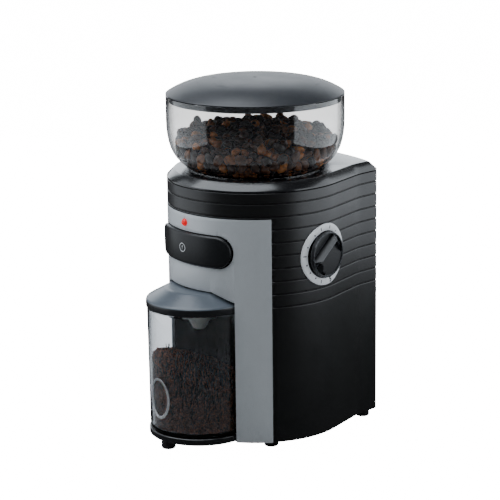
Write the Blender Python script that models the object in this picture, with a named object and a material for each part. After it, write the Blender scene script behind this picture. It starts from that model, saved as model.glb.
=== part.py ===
"""Burr coffee grinder: round hopper over a keyhole-plan body, front container, side dial and inner drive.

Lengths are in metres, +Z is up and the front faces -Y. Everything hangs from one empty on the
burr axis, whose Z = 0 is the plane that the feet stand on.
"""
import math

import bmesh
import bpy
from mathutils import Matrix, Vector

# Where the burr axis stands, so that the whole grinder is centred on the origin.
BURR_AXIS_X = -0.0047
BURR_AXIS_Y = 0.00365

GAP = 0.0003

# Body
FOOT_HEIGHT = 0.008
FRONT_RADIUS = 0.0715
WALL = 0.0025
WAIST_ANGLE = math.radians(110.5)
WAIST_LENGTH = 0.036
WAIST_BEND_RADIUS = 0.040
TAIL_ANGLE = math.radians(97.3)
REAR_RADIUS = 0.195
REAR_Y = 0.0925
REAR_CORNER_RADIUS = 0.003
SHELL_TOP = 0.2097
COVER_BOTTOM = SHELL_TOP + GAP
COVER_LIP = 0.2113
COVER_TOP = 0.2172
COVER_CHAMFER = 0.0059
LINER_GAP = WALL + GAP

# Front panel
PANEL_HALF_ANGLE = math.radians(61.0)
PANEL_TOP = 0.1889
RECESS_HALF_WIDTH = 0.0435
RECESS_SHOULDER_Z = 0.1223
RECESS_TOP_HALF_WIDTH = 0.0265
RECESS_TOP_Z = 0.1295

# Container bay and container
BAY_Y = -0.059
PLATFORM_RADIUS = 0.0416
PLATFORM_TOP = 0.0136
PLATE_TOP = 0.011
BAY_WALL = 0.002

# Power button and lamp
BUTTON_Z = 0.162
BUTTON_HALF_LENGTH = 0.0449
BUTTON_END_RADIUS = 0.0125
BUTTON_PROUD = 0.0028
BUTTON_CLEARANCE = 0.0008
LAMP_Z = 0.1818
BOARD_FRONT_Y = -0.059
BOARD_THICKNESS = 0.0016
SWITCH_X = 0.020

# Dial
KNOB_ANGLE = math.radians(100.0)
KNOB_Z = 0.1558
DIAL_INNER_RADIUS = 0.0189
DIAL_OUTER_RADIUS = 0.0247
DIAL_PROUD = 0.0016
KNOB_RADIUS = 0.0182
KNOB_BASE = 0.0007
KNOB_FACE = 0.0042
KNOB_BAR_TOP = 0.0085
KNOB_BAR_TILT = math.radians(45.0)

# Drive train
CHASSIS_BOTTOM = 0.134
CHASSIS_TOP = 0.137
MOTOR_Y = 0.044
MOTOR_RADIUS = 0.027
MOTOR_BOTTOM = 0.060
GEAR_MODULE = 0.0012
MOTOR_PINION_TEETH = 10
IDLER_WHEEL_TEETH = 30
IDLER_PINION_TEETH = 12
OUTPUT_TEETH = 30
PRESSURE_ANGLE = math.radians(20.0)
TOOTH_PLAY = 0.00035
LOWER_GEARS_Z = (0.138, 0.142)
UPPER_GEARS_Z = (0.143, 0.1475)
GEARBOX_TOP = 0.150
SHAFT_PLAY = 0.0003
BURR_SHAFT_RADIUS = 0.004

# Grinding chamber and adjustment
CHAMBER_FLOOR = GEARBOX_TOP + GAP
CHAMBER_RADIUS = 0.036
CHAMBER_WALL = 0.0025
CHAMBER_TOP = 0.1715
CROWN_TEETH = 50
CROWN_RADIUS = 0.042
KNOB_PINION_TEETH = 10
CROWN_MODULE = 2 * CROWN_RADIUS / CROWN_TEETH
CROWN_PLAY = 0.0006
RING_TOP = 0.1722

COLUMN_RADIUS = 0.0046
COLUMN_HOLE = 0.0017
COLUMNS = ((0.0598, -0.0260), (0.0452, 0.070))
FEET = (
    ("foot_front", 0.0, -0.0916),
    ("foot_middle_right", 0.048, -0.025),
    ("foot_middle_left", -0.048, -0.025),
    ("foot_rear_right", 0.038, 0.0805),
    ("foot_rear_left", -0.038, 0.0805),
)

FINE = 32
COARSE = 20
SMALL = 12


def clear_scene():
    for old in list(bpy.data.objects):
        bpy.data.objects.remove(old, do_unlink=True)


def material(name, colour, roughness, metallic=0.0, alpha=1.0):
    made = bpy.data.materials.new(name)
    made.use_nodes = True
    shader = made.node_tree.nodes["Principled BSDF"]
    shader.inputs["Base Color"].default_value = (*colour, 1.0)
    shader.inputs["Roughness"].default_value = roughness
    shader.inputs["Metallic"].default_value = metallic
    shader.inputs["Alpha"].default_value = alpha
    return made


def empty(name, parent=None, location=(0.0, 0.0, 0.0)):
    made = bpy.data.objects.new(name, None)
    made.location = location
    made.parent = parent
    bpy.context.collection.objects.link(made)
    return made


def place(name, mesh_data, parent, location=(0.0, 0.0, 0.0), surface=None):
    """Turn a bmesh into a named object under its parent."""
    bmesh.ops.recalc_face_normals(mesh_data, faces=mesh_data.faces)
    mesh = bpy.data.meshes.new(name)
    mesh_data.to_mesh(mesh)
    mesh_data.free()
    mesh.shade_smooth()
    mesh.set_sharp_from_angle(angle=math.radians(32.0))
    made = bpy.data.objects.new(name, mesh)
    made.location = location
    made.parent = parent
    bpy.context.collection.objects.link(made)
    if surface is not None:
        mesh.materials.append(surface)
    return made


def combine(target, tool, operation):
    """Cut, join or intersect with a tool object that stays out of the model."""
    tool.hide_render = True
    tool.display_type = "WIRE"
    step = target.modifiers.new(f"{operation.lower()}_{tool.name}", "BOOLEAN")
    step.operation = operation
    step.solver = "EXACT"
    step.object = tool


def turned(profile, sides, closed=True):
    """Spin an (r, z) profile a full turn about Z; an open one starts and ends on the axis."""
    shape = bmesh.new()
    points = [shape.verts.new((r, 0.0, z)) for r, z in profile]
    pairs = list(zip(points, points[1:]))
    if closed:
        pairs.append((points[-1], points[0]))
    lines = [shape.edges.new(pair) for pair in pairs]
    bmesh.ops.spin(
        shape,
        geom=points + lines,
        cent=(0.0, 0.0, 0.0),
        axis=(0.0, 0.0, 1.0),
        dvec=(0.0, 0.0, 0.0),
        angle=math.tau,
        steps=sides,
        use_merge=True,
    )
    bmesh.ops.remove_doubles(shape, verts=shape.verts, dist=1e-6)
    return shape


def prism(outline, low, high):
    """Extrude an (x, y) outline from low to high along Z."""
    shape = bmesh.new()
    face = shape.faces.new([shape.verts.new((x, y, low)) for x, y in outline])
    pulled = bmesh.ops.extrude_face_region(shape, geom=[face])
    moved = [item for item in pulled["geom"] if isinstance(item, bmesh.types.BMVert)]
    bmesh.ops.translate(shape, vec=(0.0, 0.0, high - low), verts=moved)
    return shape


def block(low, high):
    """Box between two corners."""
    shape = bmesh.new()
    size = Vector(high) - Vector(low)
    middle = (Vector(high) + Vector(low)) / 2
    bmesh.ops.create_cube(shape, size=1.0, matrix=Matrix.Translation(middle) @ Matrix.Diagonal((*size, 1.0)))
    return shape


def cylinder(radius, low, high, sides=SMALL, at=(0.0, 0.0)):
    shape = prism(circle(radius, sides), low, high)
    bmesh.ops.translate(shape, vec=(at[0], at[1], 0.0), verts=shape.verts)
    return shape


def circle(radius, sides):
    return [
        (radius * math.cos(math.tau * i / sides), radius * math.sin(math.tau * i / sides))
        for i in range(sides)
    ]


def merged(shapes):
    """Gather several separate closed shapes into one tool."""
    whole = bmesh.new()
    for shape in shapes:
        part = bpy.data.meshes.new("piece")
        shape.to_mesh(part)
        shape.free()
        whole.from_mesh(part)
        bpy.data.meshes.remove(part)
    return whole


def facing_front(shape):
    """Turn a shape drawn in (x, z) and pulled along Z so that it runs along Y instead."""
    upright = Matrix.Rotation(math.radians(90.0), 3, "X")
    bmesh.ops.rotate(shape, cent=(0.0, 0.0, 0.0), matrix=upright, verts=shape.verts)
    return shape


def along_knob(shape):
    """Aim a shape drawn along Z out through the dial's centre; its Z is the distance from the burr axis."""
    bmesh.ops.transform(shape, matrix=knob_frame(), verts=shape.verts)
    return shape


def knob_frame():
    """Frame on the burr axis at the knob's height: +Z outwards to the dial, +Y up."""
    outward = Vector((math.sin(KNOB_ANGLE), -math.cos(KNOB_ANGLE), 0.0))
    up = Vector((0.0, 0.0, 1.0))
    turn = Matrix((up.cross(outward), up, outward)).transposed()
    return Matrix.Translation((0.0, 0.0, KNOB_Z)) @ turn.to_4x4()


def arc(centre, radius, start, end, steps):
    return [
        (
            centre[0] + radius * math.cos(start + (end - start) * i / steps),
            centre[1] + radius * math.sin(start + (end - start) * i / steps),
        )
        for i in range(steps + 1)
    ]


def body_half_outline(inset):
    """Right half of the body's plan, from the front round to the rear, moved inwards by inset."""
    front = arc((0.0, 0.0), FRONT_RADIUS - inset, -math.pi / 2, WAIST_ANGLE - math.pi / 2, 12)
    heading = Vector((math.cos(WAIST_ANGLE), math.sin(WAIST_ANGLE)))
    sideways = Vector((heading.y, -heading.x))
    bend_centre = sideways * (FRONT_RADIUS + WAIST_BEND_RADIUS) + heading * WAIST_LENGTH
    bend_turn = (WAIST_ANGLE + math.pi / 2, TAIL_ANGLE + math.pi / 2)
    bend = arc(bend_centre, WAIST_BEND_RADIUS + inset, *bend_turn, 3)

    corner_radius = max(REAR_CORNER_RADIUS - inset, 0.0004)
    depth = inset + corner_radius
    rear_centre = Vector((0.0, REAR_Y - REAR_RADIUS))
    tail = Vector((math.cos(TAIL_ANGLE), math.sin(TAIL_ANGLE)))
    start = Vector(arc(bend_centre, WAIST_BEND_RADIUS + depth, *bend_turn, 1)[-1]) - rear_centre
    reach = REAR_RADIUS - depth
    along = -start.dot(tail) + math.sqrt(start.dot(tail) ** 2 - start.length_squared + reach**2)
    from_rear = start + tail * along
    rear_start = math.atan2(from_rear.y, from_rear.x)
    corner = arc(from_rear + rear_centre, corner_radius, TAIL_ANGLE - math.pi / 2, rear_start, 3)
    rear = arc(rear_centre, REAR_RADIUS - inset, rear_start, math.pi / 2, 5)
    return front + bend + corner + rear[1:]


def body_outline(inset=0.0):
    """Whole plan as a counter-clockwise loop, moved inwards by inset (outwards if negative)."""
    right = body_half_outline(inset)
    left = [(-x, y) for x, y in reversed(right[1:-1])]
    return right + left


def walls(outer, inner, low, high):
    """Upright wall between two matching outlines."""
    shape = bmesh.new()
    loops = []
    for outline in (outer, inner):
        points = [shape.verts.new((x, y, low)) for x, y in outline]
        loops += [shape.edges.new((points[i - 1], points[i])) for i in range(len(points))]
    ring = bmesh.ops.bridge_loops(shape, edges=loops)
    pulled = bmesh.ops.extrude_face_region(shape, geom=ring["faces"])
    moved = [item for item in pulled["geom"] if isinstance(item, bmesh.types.BMVert)]
    bmesh.ops.translate(shape, vec=(0.0, 0.0, high - low), verts=moved)
    return shape


def lofted(sections):
    """Closed solid through matching loops, each given as (outline, z); the two ends are filled."""
    shape = bmesh.new()
    rings = [[shape.verts.new((x, y, z)) for x, y in outline] for outline, z in sections]
    for lower, upper in zip(rings, rings[1:]):
        for i in range(len(lower)):
            shape.faces.new((lower[i - 1], lower[i], upper[i], upper[i - 1]))
    shape.faces.new(rings[0])
    shape.faces.new(rings[-1])
    return shape


def front_wedge(half_angle, inner_radius, outer_radius, low, high, steps):
    """Slice of a tube that faces the front."""
    inner = arc((0.0, 0.0), inner_radius, -math.pi / 2 - half_angle, -math.pi / 2 + half_angle, steps)
    outer = arc((0.0, 0.0), outer_radius, -math.pi / 2 + half_angle, -math.pi / 2 - half_angle, steps)
    return prism(inner + outer, low, high)


def column_places():
    return [(side * x, y) for x, y in COLUMNS for side in (1, -1)]


def housing_shell(root, surface):
    """Black outer shell round the sides and back, with screw columns inside and a window for the panel."""
    shell = place(
        "housing_shell",
        walls(body_outline(), body_outline(WALL), FOOT_HEIGHT, SHELL_TOP),
        root,
        surface=surface,
    )
    low, high = PLATE_TOP + GAP, CHASSIS_BOTTOM - GAP
    posts = [cylinder(COLUMN_RADIUS, low, high, SMALL, at) for at in column_places()]
    combine(shell, place("shell_posts", merged(posts), root), "UNION")
    window = front_wedge(PANEL_HALF_ANGLE + 0.005, 0.064, 0.080, 0.0, PANEL_TOP + GAP, 16)
    holes = [cylinder(COLUMN_HOLE, 0.0, CHASSIS_TOP, SMALL, at) for at in column_places()]
    combine(shell, place("shell_window", window, root), "DIFFERENCE")
    combine(shell, place("shell_screw_holes", merged(holes), root), "DIFFERENCE")
    gland_hole = facing_front(cylinder(0.0055, -0.100, -0.080))
    bmesh.ops.translate(gland_hole, vec=(0.0, 0.0, 0.028), verts=gland_hole.verts)
    combine(shell, place("shell_gland_hole", gland_hole, root), "DIFFERENCE")
    shaft_hole = along_knob(cylinder(0.0040, 0.055, 0.085, 16))
    combine(shell, place("shell_shaft_hole", shaft_hole, root), "DIFFERENCE")
    return shell


def top_cover(root, surface):
    """Shallow cap with a vertical lip, a 45 degree chamfer and the hopper's hole."""
    outer = lofted(
        [
            (body_outline(), COVER_BOTTOM),
            (body_outline(), COVER_LIP),
            (body_outline(COVER_CHAMFER), COVER_TOP),
        ]
    )
    cover = place("top_cover", outer, root, surface=surface)
    inner = lofted(
        [
            (body_outline(WALL), COVER_BOTTOM - 0.002),
            (body_outline(WALL), COVER_LIP - 0.001),
            (body_outline(COVER_CHAMFER + 0.001), COVER_TOP - WALL),
        ]
    )
    combine(cover, place("cover_hollow", inner, root), "DIFFERENCE")
    combine(cover, place("cover_hole", cylinder(0.026, 0.200, 0.230, FINE), root), "DIFFERENCE")
    return cover


def recess_outline():
    """Front view of the container recess as (x, z)."""
    return [
        (-RECESS_HALF_WIDTH, -0.010),
        (RECESS_HALF_WIDTH, -0.010),
        (RECESS_HALF_WIDTH, RECESS_SHOULDER_Z),
        (RECESS_TOP_HALF_WIDTH, RECESS_TOP_Z),
        (-RECESS_TOP_HALF_WIDTH, RECESS_TOP_Z),
        (-RECESS_HALF_WIDTH, RECESS_SHOULDER_Z),
    ]


def button_outline(grow=0.0):
    """Front view of the power button as (x, z): an oval wrapped on the front radius."""
    straight = BUTTON_HALF_LENGTH - BUTTON_END_RADIUS
    radius = BUTTON_END_RADIUS + grow
    right = arc((straight, 0.0), radius, -math.pi / 2, math.pi / 2, 8)
    left = arc((-straight, 0.0), radius, math.pi / 2, 3 * math.pi / 2, 8)
    return [(FRONT_RADIUS * math.sin(x / FRONT_RADIUS), BUTTON_Z + z) for x, z in right + left]


def front_panel(root, surface):
    """Satin silver plate on the front curve, cut for the container, the button and the lamp."""
    panel = place(
        "front_panel",
        front_wedge(PANEL_HALF_ANGLE, FRONT_RADIUS - WALL, FRONT_RADIUS, FOOT_HEIGHT, PANEL_TOP, 20),
        root,
        surface=surface,
    )
    recess = facing_front(prism(recess_outline(), 0.030, 0.090))
    combine(panel, place("panel_recess", recess, root), "DIFFERENCE")
    slot = facing_front(prism(button_outline(BUTTON_CLEARANCE), 0.030, 0.090))
    combine(panel, place("panel_button_slot", slot, root), "DIFFERENCE")
    lamp_hole = facing_front(cylinder(0.0031, 0.050, 0.090, SMALL))
    bmesh.ops.translate(lamp_hole, vec=(0.0, 0.0, LAMP_Z), verts=lamp_hole.verts)
    combine(panel, place("panel_lamp_hole", lamp_hole, root), "DIFFERENCE")
    return panel


def container_bay(root, surface):
    """Black liner behind the container with a sloped ceiling and the hole the grounds fall through."""
    inner = RECESS_HALF_WIDTH
    outer = inner + BAY_WALL
    low = PLATE_TOP + GAP
    profile = [
        (0.0, RECESS_TOP_Z + BAY_WALL),
        (RECESS_TOP_HALF_WIDTH, RECESS_TOP_Z + BAY_WALL),
        (outer, RECESS_SHOULDER_Z + BAY_WALL),
        (outer, low),
        (inner, low),
        (inner, RECESS_SHOULDER_Z),
        (RECESS_TOP_HALF_WIDTH, RECESS_TOP_Z),
        (0.0, RECESS_TOP_Z),
    ]
    bay = place("container_bay", turned(profile, FINE, closed=False), root, (0.0, BAY_Y, 0.0), surface)
    inside = cylinder(FRONT_RADIUS - LINER_GAP, 0.0, 0.150, 2 * FINE)
    combine(bay, place("bay_limit", inside, root), "INTERSECT")
    drop = block((-0.0095, -0.065, 0.120), (0.0095, -0.0525, 0.140))
    combine(bay, place("bay_drop_hole", drop, root), "DIFFERENCE")
    return bay


def base_plate(root, surface):
    """Floor of the body with the round platform that the container stands on."""
    plate = place(
        "base_plate",
        prism(body_outline(LINER_GAP), FOOT_HEIGHT, PLATE_TOP),
        root,
        surface=surface,
    )
    platform = cylinder(PLATFORM_RADIUS, FOOT_HEIGHT, PLATFORM_TOP, FINE, (0.0, BAY_Y))
    combine(plate, place("base_platform", platform, root), "UNION")
    cuts = []
    for at in column_places():
        cuts.append(turned_screw_hole(at))
    combine(plate, place("base_screw_holes", merged(cuts), root), "DIFFERENCE")
    return plate


def turned_screw_hole(at):
    """Clearance hole with a counterbore from below."""
    low = FOOT_HEIGHT - 0.002
    profile = [(0.0, low), (0.0030, low), (0.0030, 0.0099)]
    profile += [(COLUMN_HOLE, 0.0099), (COLUMN_HOLE, 0.020), (0.0, 0.020)]
    shape = turned(profile, SMALL, closed=False)
    bmesh.ops.recalc_face_normals(shape, faces=shape.faces)
    bmesh.ops.translate(shape, vec=(at[0], at[1], 0.0), verts=shape.verts)
    return shape


def feet(root, surface):
    top = FOOT_HEIGHT - GAP
    profile = [(0.0, 0.0), (0.0050, 0.0), (0.00575, 0.0009), (0.00575, top), (0.0, top)]
    for name, x, y in FEET:
        place(name, turned(profile, SMALL, closed=False), root, (x, y, 0.0), surface)


def screw(name, parent, at, head_z, up, length, surface):
    """Pan-head screw; up says which way its shank points."""
    sign = 1 if up else -1
    profile = [(0.0, 0.0), (0.0022, 0.0), (0.0026, 0.0005), (0.0026, 0.0014)]
    profile += [(0.0014, 0.0014), (0.0014, length), (0.0, length)]
    shape = turned([(r, sign * z) for r, z in profile], SMALL, closed=False)
    return place(name, shape, parent, (at[0], at[1], head_z), surface)


def power_parts(root, button_parent, plastic, lamp, board, metal):
    """Button with its post, return spring, switch, circuit board and lamp."""
    inner, outer = FRONT_RADIUS - 0.0017, FRONT_RADIUS + BUTTON_PROUD
    pad = front_wedge(math.radians(42.0), inner, outer, BUTTON_Z - 0.014, BUTTON_Z + 0.014, 14)
    bmesh.ops.translate(pad, vec=(0.0, 0.0, -BUTTON_Z), verts=pad.verts)
    button = place("power_button", pad, button_parent, surface=plastic)
    edge = facing_front(prism(button_outline(), 0.030, 0.090))
    bmesh.ops.translate(edge, vec=(0.0, 0.0, -BUTTON_Z), verts=edge.verts)
    combine(button, place("button_edge", edge, button_parent), "INTERSECT")
    post = facing_front(cylinder(0.0025, 0.0646, 0.0685, SMALL, (SWITCH_X, 0.0)))
    combine(button, place("button_post", post, button_parent), "UNION")

    board_low = (-0.030, BOARD_FRONT_Y, 0.1535)
    board_high = (0.030, BOARD_FRONT_Y + BOARD_THICKNESS, 0.196)
    place("circuit_board", block(board_low, board_high), root, surface=board)

    switch_back = BOARD_FRONT_Y - GAP
    switch_low = (SWITCH_X - 0.006, switch_back - 0.002, BUTTON_Z - 0.006)
    switch_high = (SWITCH_X + 0.006, switch_back, BUTTON_Z + 0.006)
    switch = place("push_switch", block(switch_low, switch_high), root, surface=plastic)
    plunger = facing_front(cylinder(0.0015, -switch_back + 0.001, -switch_back + 0.003, SMALL))
    bmesh.ops.translate(plunger, vec=(SWITCH_X, 0.0, BUTTON_Z), verts=plunger.verts)
    combine(switch, place("switch_plunger", plunger, root), "UNION")

    profile = [
        (0.0, 0.0593),
        (0.0024, 0.0593),
        (0.0024, 0.0672),
        (0.0038, 0.0672),
        (0.0038, 0.0685),
        (0.0028, 0.0685),
        (0.0028, 0.0718),
        (0.0024, 0.0729),
        (0.0014, 0.0736),
        (0.0, 0.0738),
    ]
    place("lamp_lens", facing_front(turned(profile, 16, closed=False)), root, (0.0, 0.0, LAMP_Z), lamp)

    spring = bpy.data.curves.new("button_spring", "CURVE")
    spring.dimensions = "3D"
    spring.bevel_depth = 0.0003
    spring.bevel_resolution = 0
    spring.use_fill_caps = True
    turns, per_turn = 4, 8
    path = spring.splines.new("POLY")
    path.points.add(turns * per_turn)
    length = 0.0058
    for i, point in enumerate(path.points):
        angle = math.tau * i / per_turn
        along = length * i / (turns * per_turn)
        point.co = (0.003 * math.cos(angle), along, 0.003 * math.sin(angle), 1.0)
    spring.materials.append(metal)
    coil = bpy.data.objects.new("button_spring", spring)
    coil.location = (-SWITCH_X, BOARD_FRONT_Y - 0.0066, BUTTON_Z)
    coil.parent = root
    bpy.context.collection.objects.link(coil)


def gear_outline(teeth, module, addendum, play, phase):
    """Involute gear outline with one tooth centred on the phase angle."""
    pitch = module * teeth / 2
    base = pitch * math.cos(PRESSURE_ANGLE)
    involute = math.tan(PRESSURE_ANGLE) - PRESSURE_ANGLE
    half = math.pi / (2 * teeth) - play / (2 * pitch)
    root_radius = pitch - 1.15 * module
    tip_radius = pitch + addendum * module
    flank = []
    for radius in (root_radius, pitch, tip_radius):
        lean = math.acos(min(base / radius, 1.0))
        flank.append((radius, half + involute - (math.tan(lean) - lean)))
    points = []
    for tooth in range(teeth):
        middle = phase + math.tau * tooth / teeth
        for radius, angle in flank:
            points.append((radius * math.cos(middle - angle), radius * math.sin(middle - angle)))
        for radius, angle in reversed(flank):
            points.append((radius * math.cos(middle + angle), radius * math.sin(middle + angle)))
    return points


def idler_place():
    """Where the idler meshes with both the motor pinion and the output gear."""
    to_motor = GEAR_MODULE * (MOTOR_PINION_TEETH + IDLER_WHEEL_TEETH) / 2
    to_burr = GEAR_MODULE * (IDLER_PINION_TEETH + OUTPUT_TEETH) / 2
    y = (to_burr**2 - to_motor**2 + MOTOR_Y**2) / (2 * MOTOR_Y)
    return (-math.sqrt(to_burr**2 - y**2), y)


def bored(name, outline, low, high, bore, parent, surface):
    """Prism with a round bore on its axis."""
    made = place(name, prism(outline, low, high), parent, surface=surface)
    combine(made, place(f"{name}_bore", cylinder(bore, low - 0.01, high + 0.01, 16), parent), "DIFFERENCE")
    return made


def drive_train(root, rotor, idler, spindle, metal, dark, nylon, copper):
    """Motor, two-stage gear train and burr spindle."""
    can_top = CHASSIS_BOTTOM - GAP
    can = [
        (0.007, can_top),
        (MOTOR_RADIUS, can_top),
        (MOTOR_RADIUS, MOTOR_BOTTOM),
        (MOTOR_RADIUS - 0.0015, MOTOR_BOTTOM),
        (MOTOR_RADIUS - 0.0015, can_top - 0.002),
        (0.007, can_top - 0.002),
    ]
    motor_can = place("motor_can", turned(can, COARSE), root, (0.0, MOTOR_Y, 0.0), metal)
    low, high = can_top - 0.010, can_top + 0.010
    taps = [cylinder(0.0017, low, high, SMALL, (x, MOTOR_Y + 0.006)) for x in (0.017, -0.017)]
    combine(motor_can, place("motor_taps", merged(taps), root), "DIFFERENCE")
    cap_top = MOTOR_BOTTOM - GAP
    cap = [(0.0026, cap_top), (MOTOR_RADIUS, cap_top), (MOTOR_RADIUS, cap_top - 0.003)]
    cap += [(0.008, cap_top - 0.003), (0.008, cap_top - 0.007), (0.0026, cap_top - 0.007)]
    place("motor_end_cap", turned(cap, COARSE), root, (0.0, MOTOR_Y, 0.0), dark)
    low = can_top - 0.001
    bush = [(0.0023, low), (0.0067, low), (0.0067, CHASSIS_TOP), (0.0023, CHASSIS_TOP)]
    place("motor_bush", turned(bush, 16), root, (0.0, MOTOR_Y, 0.0), copper)

    shaft_low = cap_top - 0.005
    place("motor_shaft", cylinder(0.002, shaft_low, LOWER_GEARS_Z[1] + 0.002, 16), rotor, surface=metal)
    armature = [(0.0023, 0.070), (0.010, 0.070), (0.010, 0.078), (0.019, 0.080)]
    armature += [(0.019, 0.120), (0.010, 0.124), (0.0023, 0.124)]
    place("motor_armature", turned(armature, 16), rotor, surface=copper)

    idler_at = Vector(idler_place())
    motor_at = Vector((0.0, MOTOR_Y))
    to_idler = idler_at - motor_at
    to_burr = -idler_at
    toward_idler = math.atan2(to_idler.y, to_idler.x)
    toward_burr = math.atan2(to_burr.y, to_burr.x)
    pinion = gear_outline(MOTOR_PINION_TEETH, GEAR_MODULE, 0.9, TOOTH_PLAY, toward_idler)
    bored("motor_pinion", pinion, *LOWER_GEARS_Z, 0.0023, rotor, metal)

    wheel_phase = toward_idler + math.pi + math.pi / IDLER_WHEEL_TEETH
    wheel = gear_outline(IDLER_WHEEL_TEETH, GEAR_MODULE, 0.7, TOOTH_PLAY, wheel_phase)
    small = gear_outline(IDLER_PINION_TEETH, GEAR_MODULE, 0.9, TOOTH_PLAY, toward_burr)
    compound = place("idler_gear", prism(wheel, *LOWER_GEARS_Z), idler, surface=nylon)
    upper = place("idler_upper", prism(small, LOWER_GEARS_Z[1] - 0.001, UPPER_GEARS_Z[1]), idler)
    combine(compound, upper, "UNION")
    bore = place("idler_bore", cylinder(0.0023, 0.130, 0.160, 16), idler)
    combine(compound, bore, "DIFFERENCE")
    axle_top = GEARBOX_TOP - 0.002 - GAP
    axle = cylinder(0.002, CHASSIS_TOP + GAP, axle_top, 16, tuple(idler_at))
    place("idler_axle", axle, root, surface=metal)

    output_phase = toward_burr + math.pi + math.pi / OUTPUT_TEETH
    output = gear_outline(OUTPUT_TEETH, GEAR_MODULE, 0.7, TOOTH_PLAY, output_phase)
    bored("output_gear", output, *UPPER_GEARS_Z, BURR_SHAFT_RADIUS + SHAFT_PLAY, spindle, nylon)
    shaft = [(0.0, 0.1325), (0.004, 0.1325), (0.004, 0.161), (0.003, 0.161), (0.003, 0.1845), (0.0, 0.1845)]
    place("burr_shaft", turned(shaft, 16, closed=False), spindle, surface=metal)
    bush = [(0.0043, 0.1333), (0.0060, 0.1333), (0.0060, 0.1377), (0.0043, 0.1377)]
    place("burr_shaft_bush", turned(bush, 16), root, surface=copper)

    hub = place("sweeper", cylinder(0.008, 0.154, 0.159, 16), spindle, surface=nylon)
    paddles = []
    for i in range(3):
        blade = block((0.0, -0.0012, 0.154), (0.032, 0.0012, 0.159))
        swing = Matrix.Rotation(math.tau * i / 3 + 0.5, 3, "Z")
        bmesh.ops.rotate(blade, cent=(0, 0, 0), matrix=swing, verts=blade.verts)
        tool = place(f"sweeper_paddle_{i}", blade, spindle)
        paddles.append(tool)
        combine(hub, tool, "UNION")
    combine(hub, place("sweeper_bore", cylinder(0.0043, 0.150, 0.165, 16), spindle), "DIFFERENCE")


def toothed_cone(teeth, low, high, low_radius, high_radius, depth, twist):
    """Cone with slanted cutting ribs, from low to high along Z."""
    sections = []
    steps = 3
    for level in range(steps + 1):
        share = level / steps
        radius = low_radius + (high_radius - low_radius) * share
        outline = []
        for i in range(teeth):
            middle = math.tau * i / teeth + twist * share
            root_reach = radius - depth * (0.4 + 0.6 * share)
            for offset, reach in ((-0.25, radius), (0.05, radius), (0.35, root_reach)):
                angle = middle + offset * math.tau / teeth
                outline.append((reach * math.cos(angle), reach * math.sin(angle)))
        sections.append((outline, low + (high - low) * share))
    return lofted(sections)


def grinding_parts(root, spindle, carrier, ring, steel, plastic, nylon):
    """Burrs, their carrier, the crown-toothed adjusting ring, the chamber and the chute."""
    cone = toothed_cone(12, 0.1612, 0.182, 0.0172, 0.0078, 0.0022, 0.9)
    inner = place("inner_burr", cone, spindle, surface=steel)
    combine(inner, place("inner_burr_bore", cylinder(0.0033, 0.150, 0.190, 16), spindle), "DIFFERENCE")
    bored("burr_nut", circle(0.0052, 6), 0.1823, 0.1848, 0.0033, spindle, steel)

    outer = [(0.024, 0.1633), (0.024, 0.177), (0.0165, 0.177), (0.0135, 0.1725), (0.0183, 0.1633)]
    place("outer_burr", turned(outer, 24), carrier, surface=steel)
    sleeve = [(0.0243, 0.1633), (0.033, 0.1633), (0.033, 0.173)]
    sleeve += [(0.040, 0.173), (0.040, 0.176), (0.0243, 0.176)]
    place("burr_carrier", turned(sleeve, 24), carrier, surface=plastic)

    place("adjusting_ring", crown_ring(), ring, surface=nylon)

    floor = CHAMBER_FLOOR
    inside = CHAMBER_RADIUS - CHAMBER_WALL
    cup = [
        (0.0046, floor),
        (CHAMBER_RADIUS, floor),
        (CHAMBER_RADIUS, CHAMBER_TOP),
        (inside, CHAMBER_TOP),
        (inside, 0.153),
        (0.0046, 0.153),
    ]
    chamber = place("grind_chamber", turned(cup, 24), root, surface=plastic)
    outlet = block((-0.0105, -0.040, 0.1532), (0.0105, -0.025, 0.1612))
    combine(chamber, place("chamber_outlet", outlet, root), "DIFFERENCE")

    shell = [
        (-0.0364, 0.1508),
        (-0.0364, 0.1627),
        (-0.0670, 0.1470),
        (-0.0670, 0.1318),
        (-0.0505, 0.1318),
        (-0.0505, 0.1390),
    ]
    chute = place("chute", sideways_prism(shell, 0.012), root, surface=plastic)
    path = [
        (-0.0300, 0.1532),
        (-0.0300, 0.1612),
        (-0.0366, 0.1612),
        (-0.0655, 0.1460),
        (-0.0655, 0.1250),
        (-0.0520, 0.1250),
        (-0.0520, 0.1400),
        (-0.0366, 0.1532),
    ]
    combine(chute, place("chute_path", sideways_prism(path, 0.0105), root), "DIFFERENCE")


def sideways_prism(outline, half_width):
    """Pull a (y, z) outline along X."""
    shape = prism(outline, -half_width, half_width)
    turn = Matrix(((0.0, 0.0, 1.0), (1.0, 0.0, 0.0), (0.0, 1.0, 0.0)))
    bmesh.ops.transform(shape, matrix=turn.to_4x4(), verts=shape.verts)
    return shape


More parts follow.
